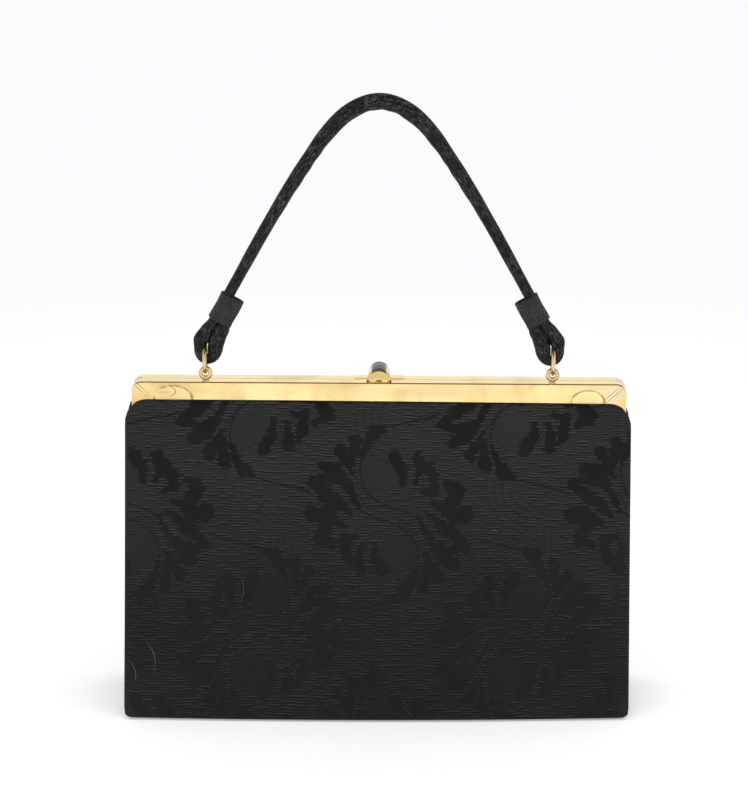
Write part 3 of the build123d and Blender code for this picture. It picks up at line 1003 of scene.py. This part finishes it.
def foot_tuck(level):
    """How far the wall turns in under itself near the ground."""
    short = max(0.0, 1 - (level - PANEL_LIFT) / TUCK_HEIGHT)
    return TUCK_DEPTH * (1 - math.sqrt(1 - short**2))


def foot_flare(across, level):
    """How far the front wall's foot has spread forward, most at the left."""
    left = 0.5 - across / (2 * HALF_WIDTH)
    share = (level - PANEL_LIFT) / (PANEL_TOP - PANEL_LIFT)
    return (FOOT_FLARE[0] + FOOT_FLARE[1] * left) * (1 - share) ** 2


def settled(across, level):
    """Where a point of the walls has moved: the left side has sagged wider and taller."""
    left = 0.5 - across / (2 * HALF_WIDTH)
    share = (level - PANEL_LIFT) / (PANEL_TOP - PANEL_LIFT)
    wider = (1 - left) * SAG_RIGHT - left * SAG_LEFT
    lower = FOOT_DROP * (1 - share)
    higher = (MOUTH_RISE + MOUTH_SKEW * left) * share
    return across + wider, level - lower + higher


print("front foot forward:", FOOT_FLARE[0], "to", sum(FOOT_FLARE), "mm")


# %% [markdown]
# ## Front and rear walls
# A wall is a closed form with a face, a back and a rim between them. Points near the edge roll
# back, so that the edge catches light as folded cloth does. The rear wall bends at the hinges
# when the bag opens, but here it is one fixed piece.

# %% Front and rear walls
ROWS = 44
COLUMNS = 64
PUFF_EDGE = 6.0


def wall_piece(name, side):
    """One wall as a closed padded form. Side is -1 for the front and 1 for the rear."""
    levels = graded(PANEL_LIFT, PANEL_TOP, ROWS)
    faces = []
    flats = []
    backs = []
    for level in levels:
        for across in graded(-half_row(level), half_row(level), COLUMNS):
            edge = from_edge(across, level)
            roll = EDGE_ROLL * (1 - math.sqrt(1 - (1 - min(edge / EDGE_ROLL, 1)) ** 2))
            puff = wall_puff(across, level) * min(edge / PUFF_EDGE, 1)
            bow = wall_crown(level) * (1 - (across / HALF_WIDTH) ** 2)
            out = wall_depth(level) + bow - foot_tuck(level)
            if side < 0:
                out += foot_flare(across, level)
            place_x, place_z = settled(across, level)
            faces.append((place_x, side * (out - roll + puff), place_z))
            backs.append((place_x, side * (out - PANEL_THICKNESS), place_z))
            flats.append((-side * across, level))
    columns = COLUMNS + 2 * len(EDGE_STEPS) - 2
    rows = len(levels)
    count = len(faces)
    quads = grid_quads(rows, columns) + [quad[::-1] for quad in grid_quads(rows, columns, first=count)]
    rim = list(range(columns)) + [row * columns + columns - 1 for row in range(1, rows)]
    rim += [(rows - 1) * columns + column for column in range(columns - 2, -1, -1)]
    rim += [row * columns for row in range(rows - 2, 0, -1)]
    for here, there in zip(rim, rim[1:] + rim[:1]):
        quads.append((here, there, there + count, here + count))
    piece = turn_out(add_piece(name, faces + backs, quads, brocade, flats + flats))
    return piece


front_wall = wall_piece("front_wall", -1)
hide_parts("front_panel")
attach(front_wall, "body")
rear_wall = wall_piece("rear_wall", 1)
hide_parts("rear_panel")
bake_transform(rear_wall)
print("wall faces:", len(front_wall.data.polygons))


# %% [markdown]
# ## Loose fibres
# A used dark bag always carries a little lint. A few pale fibres lie on the front wall as fine
# tubes, each along a curve with a start, a bend and an end.

# %% Fibres
FIBRE_RADIUS = 0.08
FIBRE_TAPER = 0.7
FIBRE_PROUD = 0.1
FIBRE_SIDES = 6
FIBRE_STEPS = 12
# Start, bend and end of each fibre: millimetres across and up the wall
FIBRES = (
    ((-68.0, 71.5), (-66.0, 62.0), (-70.5, 60.5)),
    ((-117.0, 40.0), (-110.0, 33.0), (-113.5, 23.0)),
    ((-126.0, 31.0), (-120.0, 24.0), (-123.5, 18.0)),
    ((-21.0, 52.2), (-19.5, 52.8), (-18.0, 52.0)),
    ((57.0, 97.0), (59.0, 98.5), (60.5, 96.8)),
)
LINT_GREYS = ((0.08, 0.08, 0.085, 1), (0.3, 0.3, 0.31, 1))
LINT_SCALE = 900.0
lint, lint_surface, start = shader("lint", {"Roughness": 0.8})
place = start.node("ShaderNodeTexCoord", (), output=3)
feed(lint_surface, {"Base Color": noise(start, place, LINT_SCALE).mix(*LINT_GREYS)})


def on_wall(across, level):
    """A place just proud of the front wall."""
    x, z = settled(across, level)
    bow = wall_crown(level) * (1 - (across / HALF_WIDTH) ** 2)
    out = wall_depth(level) + bow + foot_flare(across, level) + wall_puff(across, level)
    return Vector((x, -(out + FIBRE_PROUD), z))


points = []
quads = []
for first, bend, last in FIBRES:
    start_index = len(points)
    for share in spread(0.0, 1.0, FIBRE_STEPS):
        weights = ((1 - share) ** 2, 2 * share * (1 - share), share**2)
        across = sum(weight * spot[0] for weight, spot in zip(weights, (first, bend, last)))
        level = sum(weight * spot[1] for weight, spot in zip(weights, (first, bend, last)))
        slim = FIBRE_RADIUS * (1 - FIBRE_TAPER * abs(2 * share - 1))
        for side in range(FIBRE_SIDES):
            angle = math.tau * side / FIBRE_SIDES
            offset = Vector((slim * math.cos(angle), slim * math.sin(angle), slim * math.cos(angle)))
            points.append(on_wall(across, level) + offset)
    quads += grid_quads(FIBRE_STEPS, FIBRE_SIDES, first=start_index, ring=True)
    quads.append(tuple(range(start_index, start_index + FIBRE_SIDES)))
    quads.append(tuple(range(len(points) - FIBRE_SIDES, len(points))))
fibres = turn_out(add_piece("loose_fibres", points, quads, lint))
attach(fibres, "body")
print("fibres:", len(FIBRES))


# %% [markdown]
# ## Faille of the handle
# The handle is faille, a plain black silk with a fine uneven grain. It was stitched round a core,
# so the grain is drawn out along the roll, and handling has rubbed the tops of its threads pale.
# The keepers are cut from the same cloth and are rubbed more.

# %% Faille
FAILLE_BLACKS = ((0.002, 0.0022, 0.0024), (0.0065, 0.0068, 0.0072))
RUBBED_GREY = (0.11, 0.112, 0.116, 1)
FAILLE_RELIEF = 0.0004


def faille_finish(name, rub, drawn, paler):
    """Fine grain in black, drawn out along one way, with pale rubbed threads."""
    material, surface, start = shader(name, {"Specular IOR Level": 0.16})
    along, around = flat_place(start)
    grain = noise(start, vector(along * 1.5, around * 1.7), 1.0, 2.0)
    streaks = noise(start, vector(along * drawn + around * 0.2, around * 1.5), 1.0, 3.0)
    patches = noise(start, vector(along, around), 0.13, 2.0).step(0.35, 0.7)
    wrinkles = noise(start, vector(along * 0.5, around * 0.12), 1.0, 2.0)
    rubbed = streaks.step(0.4, 0.64) * grain.step(0.32, 0.6) * (patches * 0.7 + 0.3) * rub
    low, high = ((*(part * paler for part in black), 1) for black in FAILLE_BLACKS)
    feed(
        surface,
        {
            "Base Color": rubbed.smallest(1.0).mix(grain.mix(low, high), RUBBED_GREY),
            "Roughness": 0.5 + grain * 0.2,
            "Normal": bump(streaks * 0.9 + grain * 0.7 + wrinkles * 1.2, FAILLE_RELIEF, 0.8),
        },
    )
    return material


faille = faille_finish("faille", 0.9, 0.32, 1.0)
rubbed_faille = faille_finish("rubbed_faille", 0.8, 2.0, 5.0)
print("faille nodes:", len(faille.node_tree.nodes))


# %% [markdown]
# ## Handle route
# The handle is one roll. At each end it turns through the ring and comes back beside itself
# under a keeper. Its line is a smooth spline, drawn by a few control points: on the straight
# runs, and at the corners where the tangents of each bend meet. Points read back from the
# spline carry the tube.

# %% Route
HANDLE_BACK = -3.5
RIGHT_ROUTE = (
    (71.4, 212.8),
    (78.3, 200.0),
    (81.9, 193.6),
    (83.2, 183.3),
    (90.4, 183.3),
    (90.9, 191.0),
    (87.0, 198.2),
    (82.7, 203.0),
    (77.2, 213.5),
    (46.5, 269.5),
    (15.5, 315.0),
)
left_route = [(-x, z) for x, z in reversed(RIGHT_ROUTE)]
route_data = bpy.data.curves.new("handle_route", "CURVE")
route_data.dimensions = "3D"
route_data.resolution_u = 40
spline = route_data.splines.new("NURBS")
route_points = list(RIGHT_ROUTE) + left_route
spline.points.add(len(route_points) - 1)
for point, (x, z) in zip(spline.points, route_points):
    point.co = (x, HANDLE_BACK, z, 1)
spline.order_u = 3
spline.use_endpoint_u = True
route = bpy.data.objects.new("handle_route", route_data)
read_back = bpy.data.meshes.new_from_object(route)
line = [vertex.co.copy() for vertex in read_back.vertices]
bpy.data.objects.remove(route)
bpy.data.meshes.remove(read_back)
lengths = [0.0]
for here, there in zip(line, line[1:]):
    lengths.append(lengths[-1] + (there - here).length)
print("handle length:", round(lengths[-1]), "mm, top:", round(max(p.z for p in line), 1))


# %% [markdown]
# ## Handle
# The roll is slim where it lies double, plump where it is pressed against the ring, and thickest
# over the arch. Rings of points stand square to the route, and the two cut ends close under the
# keepers.

# %% Handle tube
STRAND_RADIUS = 2.7
# Run along the handle from its nearer end, and the radius there
ROLL_RADII = ((0, 2.6), (11, 2.7), (17, 4.0), (22, 4.2), (26, 3.9), (34, 2.7), (38, 2.2))
ROLL_RADII += ((42, 2.55), (47, 3.9), (52, 3.4), (58, 2.8))
ROLL_RADII += ((66, 2.75), (105, 3.05), (150, 3.5), (190, 4.15))
TUBE_SIDES = 40
ARCH_START = 120.0
WRINKLE = 0.14
UNEVEN = 0.06


def roll_radius(run):
    """The handle's radius this far along from its nearer end."""
    radius = ROLL_RADII[0][1]
    for (low, low_radius), (high, high_radius) in zip(ROLL_RADII, ROLL_RADII[1:]):
        share = min(1.0, max(0.0, (run - low) / (high - low)))
        radius += (high_radius - low_radius) * share * share * (3 - 2 * share)
    return radius + UNEVEN * math.sin(run / 3.7) * math.sin(run / 11)


def roll_wrinkle(run, bend):
    """Small creases on the inner side of the arch."""
    inner = max(0.0, -math.cos(bend))
    return WRINKLE * inner * math.sin(run / 1.9 + 2 * math.sin(run / 8))


def tube_rings(line, lengths):
    """Points of a tube round the handle's line, and their flat places."""
    points = []
    flats = []
    whole = lengths[-1]
    for index, middle in enumerate(line):
        way = (line[min(index + 1, len(line) - 1)] - line[max(index - 1, 0)]).normalized()
        aside = Vector((way.z, 0, -way.x))
        run = lengths[index]
        radius = roll_radius(min(run, whole - run))
        for side in range(TUBE_SIDES):
            bend = math.tau * side / TUBE_SIDES
            arched = ARCH_START < run < whole - ARCH_START
            out = radius + (roll_wrinkle(run, bend) if arched else 0)
            points.append(middle + aside * (out * math.cos(bend)) + Vector((0, out * math.sin(bend), 0)))
            flats.append((run, abs(bend - math.pi) * STRAND_RADIUS))
    return points, flats


points, flats = tube_rings(line, lengths)
quads = grid_quads(len(line), TUBE_SIDES, ring=True)
quads.append(tuple(range(TUBE_SIDES))[::-1])
quads.append(tuple(range(len(points) - TUBE_SIDES, len(points))))
handle = turn_out(add_piece("rolled_handle", points, quads, faille, flats))
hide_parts("handle_cord")
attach(handle, "handle")
print("handle faces:", len(handle.data.polygons))


# %% [markdown]
# ## Keepers
# A keeper is a short strip of the same faille sewn round both strands. It is a flattened tube
# with soft edges, a little uneven, and its lap is a small step on one side.

# %% Keepers
KEEPER_LENGTH = 14.6
KEEPER_SLOPE = math.radians(28.4)
KEEPER_FOOT = Vector((80.1, HANDLE_BACK, 202.6))
KEEPER_WALL = 0.55
KEEPER_GIRTH = 28.0
KEEPER_FLAT = 2.2
KEEPER_SAG = 0.12
KEEPER_LAP = 0.35
LAP_TURNS = (0.02, 0.16)
OUTER_LIFT = 0.3
STRAND_PITCH = 5.4
STRAND_BORE = 2.85
KEEPER_SIDES = 72
KEEPER_ROWS = 14
HEM = 1.2
# Run and lift over the rounded edge, from the inner face
KEEPER_EDGE = ((0.0, 0.0), (0.0, 0.35), (0.12, 0.55), (0.4, 0.62))


def keeper_section(turn):
    """A place on the keeper's flattened section, and the way out from it."""
    bend = math.tau * turn
    shift = STRAND_PITCH / 2 * max(-1.0, min(1.0, KEEPER_FLAT * math.cos(bend)))
    way = Vector((math.cos(bend), math.sin(bend)))
    return Vector((shift, 0)), way


def keeper_piece(side):
    """One keeper as a band with an inner and an outer face."""
    upward = Vector((-side * math.sin(KEEPER_SLOPE), 0, math.cos(KEEPER_SLOPE)))
    outward = Vector((side * math.cos(KEEPER_SLOPE), 0, math.sin(KEEPER_SLOPE)))
    foot = Vector((side * KEEPER_FOOT.x, KEEPER_FOOT.y, KEEPER_FOOT.z))
    profile = list(KEEPER_EDGE)
    profile += [(run, KEEPER_WALL) for run in spread(HEM, KEEPER_LENGTH - HEM, KEEPER_ROWS)]
    profile += [(KEEPER_LENGTH - run, lift) for run, lift in reversed(KEEPER_EDGE)]
    points = []
    flats = []
    for run, lift in profile:
        for index in range(KEEPER_SIDES):
            turn = index / KEEPER_SIDES
            shift, way = keeper_section(turn)
            out = STRAND_BORE + lift
            if lift > OUTER_LIFT:
                lap = KEEPER_LAP if LAP_TURNS[0] < turn < LAP_TURNS[1] else 0.0
                out += lap + KEEPER_SAG * math.sin(run / 2.1 + 3 * turn * math.tau)
            place = shift + way * out
            points.append(foot + upward * run + outward * place.x + Vector((0, place.y, 0)))
            flats.append((turn * KEEPER_GIRTH, run))
    quads = grid_quads(len(profile), KEEPER_SIDES, ring=True)
    last = (len(profile) - 1) * KEEPER_SIDES
    for index in range(KEEPER_SIDES):
        beside = (index + 1) % KEEPER_SIDES
        quads.append((last + index, last + beside, beside, index))
    return points, quads, flats


for side, side_name in ((-1, "left"), (1, "right")):
    points, quads, flats = keeper_piece(side)
    name = f"band_keeper_{side_name}"
    keeper = turn_out(add_piece(name, points, quads, rubbed_faille, flats))
    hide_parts(f"keeper_{side_name}")
    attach(keeper, "handle")
print("keeper faces:", len(keeper.data.polygons))


# %% [markdown]
# ## Thin sheets
# Gussets and lining are thin cloth, folded or hung. A solid would need two faces kept apart by
# hand, so each sheet is one grid of points, and a modifier adds its thickness.

# %% Sheets
def sheet_piece(name, rows, flats, thickness, material):
    """A thin sheet through rows of points."""
    columns = len(rows[0])
    points = [point for row in rows for point in row]
    places = [place for row in flats for place in row]
    piece = add_piece(name, points, grid_quads(len(rows), columns), material, places)
    thicken = piece.modifiers.new("thickness", "SOLIDIFY")
    thicken.thickness = thickness * MM
    thicken.offset = 0
    return piece


print("sheet helper ready")


# %% [markdown]
# ## Shape of a gusset
# Creased cloth closes each side of the bag below the hinges. Its middle folds inward, so that the
# bag can open and shut, and its front edge follows the spread foot of the front wall.

# %% Gusset shape
GUSSET_FACE = 120.9
GUSSET_FLOOR = 2.4
GUSSET_TOP = 115.0
GUSSET_THICKNESS = 1.0
GUSSET_GAP = 0.4
FOLD_SHARE = 0.5
FOLD_SOFT = 0.004
FOLD_SLACK = 1.12
FOLD_CURVE = 0.5 / 27
SIDE_CLOTH = 300.0
GUSSET_ROWS = 40
GUSSET_COLUMNS = 41


def gusset_half(level):
    """Half a gusset's width at one level."""
    return wall_depth(level) - PANEL_THICKNESS - GUSSET_GAP


def fold_share(share):
    """How much of the fold is left at this share of the half width, with a soft middle."""
    return 1 - math.sqrt(share * share + FOLD_SOFT)


def gusset_rows(side):
    """Points and flat places of a creased gusset."""
    rows = []
    flats = []
    for level in spread(GUSSET_FLOOR, GUSSET_TOP, GUSSET_ROWS):
        half = gusset_half(level)
        row = []
        flat = []
        for share in spread(-1.0, 1.0, GUSSET_COLUMNS):
            curve = FOLD_CURVE * math.sin(math.pi * abs(share)) * half
            fold = FOLD_SHARE * half * fold_share(share) - curve
            spread_foot = foot_flare(side * HALF_WIDTH, level) * min(share, 0.0)
            row.append((side * (GUSSET_FACE - fold), share * half + spread_foot, level))
            flat.append((share * half * FOLD_SLACK + SIDE_CLOTH * side, level))
        rows.append(row)
        flats.append(flat)
    return rows, flats


print("gusset half width at its foot:", round(gusset_half(GUSSET_FLOOR), 1), "mm")


# %% [markdown]
# ## Wings of the gussets
# Above the hinges only a narrow wing of cloth is left beside each leg of the frame. It tapers up
# to nothing and bulges a little. A wing has to follow its own half of the frame when that opens,
# so each is a piece of its own.

# %% Wings beside the frame's legs
WING_EDGE = 7.3
WING_TOP = 158.9
WING_FOOT = 0.4
WING_TIP = 0.05
WING_BULGE = 0.35
WING_ROWS = 24
WING_COLUMNS = 7
wings = {"left": [], "right": []}
for side, side_name in ((-1, "left"), (1, "right")):
    for way, way_name, body in ((-1, "front", "body"), (1, "rear", "rear_half")):
        rows = []
        flats = []
        for level in spread(GUSSET_TOP + WING_FOOT, WING_TOP, WING_ROWS):
            taper = 1 - (level - GUSSET_TOP) / (WING_TOP - GUSSET_TOP)
            outer = WING_EDGE + WING_TIP + (gusset_half(GUSSET_TOP) - WING_EDGE) * taper
            depths = spread(WING_EDGE, outer, WING_COLUMNS)
            row = []
            for part, depth in zip(spread(0.0, 1.0, WING_COLUMNS), depths):
                bulge = WING_BULGE * math.sin(math.pi * part) * taper
                row.append((side * (GUSSET_FACE + bulge), way * depth, level))
            rows.append(row)
            flats.append([(way * depth + SIDE_CLOTH * side, level) for depth in depths])
        name = f"gusset_wing_{way_name}_{side_name}"
        wing = sheet_piece(name, rows, flats, GUSSET_THICKNESS, brocade)
        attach(wing, body)
        wings[side_name].append(wing)
print("wing at its foot:", round(gusset_half(GUSSET_TOP) - WING_EDGE, 1), "mm")


# %% [markdown]
# ## Gussets
# Each gusset is cut wider than the gap that it closes, since its fold takes up cloth. Its flat
# size is the width at its foot with the fold laid out, by its height. It hangs between the walls.

# %% Gussets
for side, side_name in ((-1, "left"), (1, "right")):
    rows, flats = gusset_rows(side)
    name = f"creased_gusset_{side_name}"
    gusset = sheet_piece(name, rows, flats, GUSSET_THICKNESS, brocade)
    low_width, high_width = (
        (2 * gusset_half(level) + foot_flare(side * HALF_WIDTH, level)) * FOLD_SLACK
        for level in (GUSSET_FLOOR, GUSSET_TOP)
    )
    height = GUSSET_TOP - GUSSET_FLOOR
    low_width * MM
    height * MM
    (low_width + high_width) / 2 * height * MM * MM
    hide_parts(f"{side_name}_gusset")
    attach(gusset, "body")
    print(side_name, "gusset width at its foot:", round(low_width, 1), "mm")


# %% [markdown]
# ## Base
# The bag stands on a stiff board under the same brocade. Its long edges follow the bow and the
# spread foot of the walls, and the cloth rounds its lower edge, so only the flat of it meets the
# ground. A plain box would leave gaps there, so an outline is drawn round and then stepped in.

# %% Base
BASE_THICKNESS = 2.2
BASE_INSET = 2.7
BASE_ROUND = 2.3
BASE_HALF = 126.5
BASE_POINTS = 400
BASE_CLOTH = 400.0
# Share of the rounding by which the edge has come in, and share of the thickness
BASE_STEPS = ((0.0, 1.0), (0.2, 0.55), (0.55, 0.28), (0.8, 0.12), (1.0, 0.0))


def base_edge(share):
    """A place on the base's outline, from 0 to 1 round it."""
    side = 4 * share
    straight = BASE_DEPTH / 2 - BASE_INSET
    if side < 1 or 2 <= side < 3:
        across = BASE_HALF * (2 * (side % 1) - 1) * (1 if side < 1 else -1)
        out = straight + CROWN_LOW * (1 - (across / HALF_WIDTH) ** 2)
        return Vector((across, -out - foot_flare(across, PANEL_LIFT) if side < 1 else out))
    end = BASE_HALF * (1 if side < 2 else -1)
    front = straight + foot_flare(end, PANEL_LIFT)
    return Vector((end, (straight + front) * (side % 1 if side < 2 else 1 - side % 1) - front))


outline = [base_edge(index / BASE_POINTS) for index in range(BASE_POINTS)]
points = []
flats = []
for inset, level in BASE_STEPS:
    for place in outline:
        across = place.x * (1 - inset * BASE_ROUND / BASE_HALF)
        depth = place.y * (1 - 2 * inset * BASE_ROUND / BASE_DEPTH)
        points.append((across, depth, level * BASE_THICKNESS))
        flats.append((across, depth + BASE_CLOTH))
quads = grid_quads(len(BASE_STEPS), len(outline), ring=True)
quads.append(tuple(range(len(outline))))
quads.append(tuple(range(len(points) - len(outline), len(points))))
base = turn_out(add_piece("base_cover", points, quads, brocade, flats))
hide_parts("base_panel")
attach(base, "body")
print("base:", round(2 * BASE_HALF), "by", round(BASE_DEPTH - 2 * BASE_INSET), "mm at its ends")


# %% [markdown]
# ## Satin
# Black satin lines the inside. It is smooth, with a fine slanting twill, and shines softly where
# it creases, which is a painted sheen: its colour is paler along the creases. Both are waves and
# noise over the flat cloth.

# %% Satin
SATIN_BLACKS = ((0.014, 0.014, 0.015, 1), (0.03, 0.03, 0.032, 1))
TWILL_SLOPE = 0.8
TWILL_PITCH = 0.5
SATIN_RELIEF = 0.0006
satin, satin_surface, start = shader("lining_satin", {"Specular IOR Level": 0.5})
across, along = flat_place(start)
twill = (across * TWILL_SLOPE + along).wave(TWILL_PITCH)
creases_and_sheen = noise(start, vector(across * 0.05, along * 0.018), 1.0, 3.0)
feed(
    satin_surface,
    {
        "Base Color": creases_and_sheen.mix(*SATIN_BLACKS),
        "Roughness": 0.36 + twill * 0.1,
        "Normal": bump(twill * 0.05 + creases_and_sheen * 2.0, SATIN_RELIEF, 0.5),
    },
)
print("satin nodes:", len(satin.node_tree.nodes))


# %% [markdown]
# ## Front and rear lining
# These two sheets hang from the frame inside the walls. They are a little slack, so they show
# long soft creases. The rear sheet is one fixed piece, like its wall.

# %% Hanging lining
LINING_BACK = 4.3
LINING_FLOOR = 3.2
LINING_TOP = 158.9
LINING_HALF = 112.0
LINING_THICKNESS = 0.4
LINING_GAP = 0.6
SLACK = 0.5
LINING_ROWS = 60
LINING_COLUMNS = 90


def lining_depth(level):
    """Distance of the lining from the middle plane at one level."""
    return wall_depth(level) - LINING_BACK


def slack(across, level):
    """Soft upright creases of a loose lining."""
    hang = math.sin(math.pi * (level - LINING_FLOOR) / (LINING_TOP - LINING_FLOOR))
    return SLACK * hang * math.sin(across / 9 + math.sin(level / 40)) * math.sin(across / 23 + 0.7)


for way, way_name in ((-1, "front"), (1, "rear")):
    rows = []
    flats = []
    for level in spread(LINING_FLOOR, LINING_TOP, LINING_ROWS):
        acrosses = spread(-LINING_HALF, LINING_HALF, LINING_COLUMNS)
        depth = lining_depth(level) - LINING_GAP
        rows.append([(x, way * (depth + slack(x, level)), level) for x in acrosses])
        flats.append([(x, level) for x in acrosses])
    lining = sheet_piece(f"lining_{way_name}", rows, flats, LINING_THICKNESS, satin)
    height = math.hypot(LINING_TOP - LINING_FLOOR, lining_depth(LINING_FLOOR) - lining_depth(LINING_TOP))
    height * MM
    if way_name == "front":
        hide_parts("lining")
        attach(lining, "body")
    else:
        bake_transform(lining)
print("lining height:", round(height, 1), "mm")


# %% [markdown]
# ## Floor of the lining
# A narrow sheet lies on the base, between the hanging sheets and short of the folded ends. It is
# almost flat, with a slight ripple along its length.

# %% Lining floor
LINING_END = 113.4
FLOOR_HALF = LINING_END - 14.0
FLOOR_LEVEL = LINING_FLOOR - 0.2
FLOOR_RIPPLE = 0.15
SEAM = 0.8
FLOOR_ROWS = 60
FLOOR_COLUMNS = 12
floor_depth = lining_depth(LINING_FLOOR) - SEAM
rows = []
flats = []
for across in spread(-FLOOR_HALF, FLOOR_HALF, FLOOR_ROWS):
    depths = spread(-floor_depth, floor_depth, FLOOR_COLUMNS)
    level = FLOOR_LEVEL + FLOOR_RIPPLE * math.sin(across / 11)
    rows.append([(across, depth, level) for depth in depths])
    flats.append([(across, depth) for depth in depths])
lining_floor = sheet_piece("lining_floor", rows, flats, LINING_THICKNESS, satin)
floor_size = (2 * FLOOR_HALF * MM, 2 * floor_depth * MM)
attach(lining_floor, "body")
print("lining floor:", round(2 * FLOOR_HALF, 1), "by", round(2 * floor_depth, 1), "mm")


# %% [markdown]
# ## Ends of the lining
# Behind each gusset the lining folds in with it, with the same soft crease. Its flat width is
# worked out like the gusset's, with the share of cloth that the fold takes up at foot and top.

# %% Lining ends
LOW_SLACK = 1.13
HIGH_SLACK = 1.15
END_ROWS = 40
END_COLUMNS = 31
for side, side_name in ((-1, "left"), (1, "right")):
    rows = []
    flats = []
    for level in spread(LINING_FLOOR, GUSSET_TOP, END_ROWS):
        half = lining_depth(level) - SEAM
        fold = FOLD_SHARE * gusset_half(level)
        shares = spread(-1.0, 1.0, END_COLUMNS)
        rows.append(
            [(side * (LINING_END - fold * fold_share(share)), share * half, level) for share in shares]
        )
        flats.append([(share * half * FOLD_SLACK, level) for share in shares])
    name = f"lining_end_{side_name}"
    lining_end = sheet_piece(name, rows, flats, LINING_THICKNESS, satin)
    low_width = 2 * (lining_depth(LINING_FLOOR) - SEAM) * LOW_SLACK
    high_width = 2 * (lining_depth(GUSSET_TOP) - SEAM) * HIGH_SLACK
    low_width * MM
    (low_width + high_width) / 2 * (GUSSET_TOP - LINING_FLOOR) * MM * MM
    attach(lining_end, "body")
print("lining end width at its foot:", round(low_width, 1), "mm")


# %% [markdown]
# ## Boards
# Between the cloth and the lining each wall has a stiff board of pressed brown card. It hardly
# shows, but an open seam would show its fibres, so the solids get a finish of stretched noise.

# %% Boards
BOARDS = ("front_board", "rear_board_lower", "rear_board_upper")
CARD_BROWNS = ((0.2, 0.17, 0.13, 1), (0.38, 0.33, 0.26, 1))
FIBRE_SCALES = (300, 300, 1200)
CARD_RELIEF = 0.0002
card, card_surface, start = shader("pressed_card", {"Roughness": 0.85})
place = start.node("ShaderNodeTexCoord", (), output=3)
stretched = place.node("ShaderNodeVectorMath", (place, FIBRE_SCALES), operation="MULTIPLY")
fibres = noise(start, stretched, 1.0, 4.0)
feed(
    card_surface,
    {
        "Base Color": fibres.mix(*CARD_BROWNS),
        "Normal": bump(fibres, CARD_RELIEF, 0.5),
    },
)
for name in BOARDS:
    nodes[name].data.materials.clear()
    nodes[name].data.materials.append(card)
print("boards:", len(BOARDS))
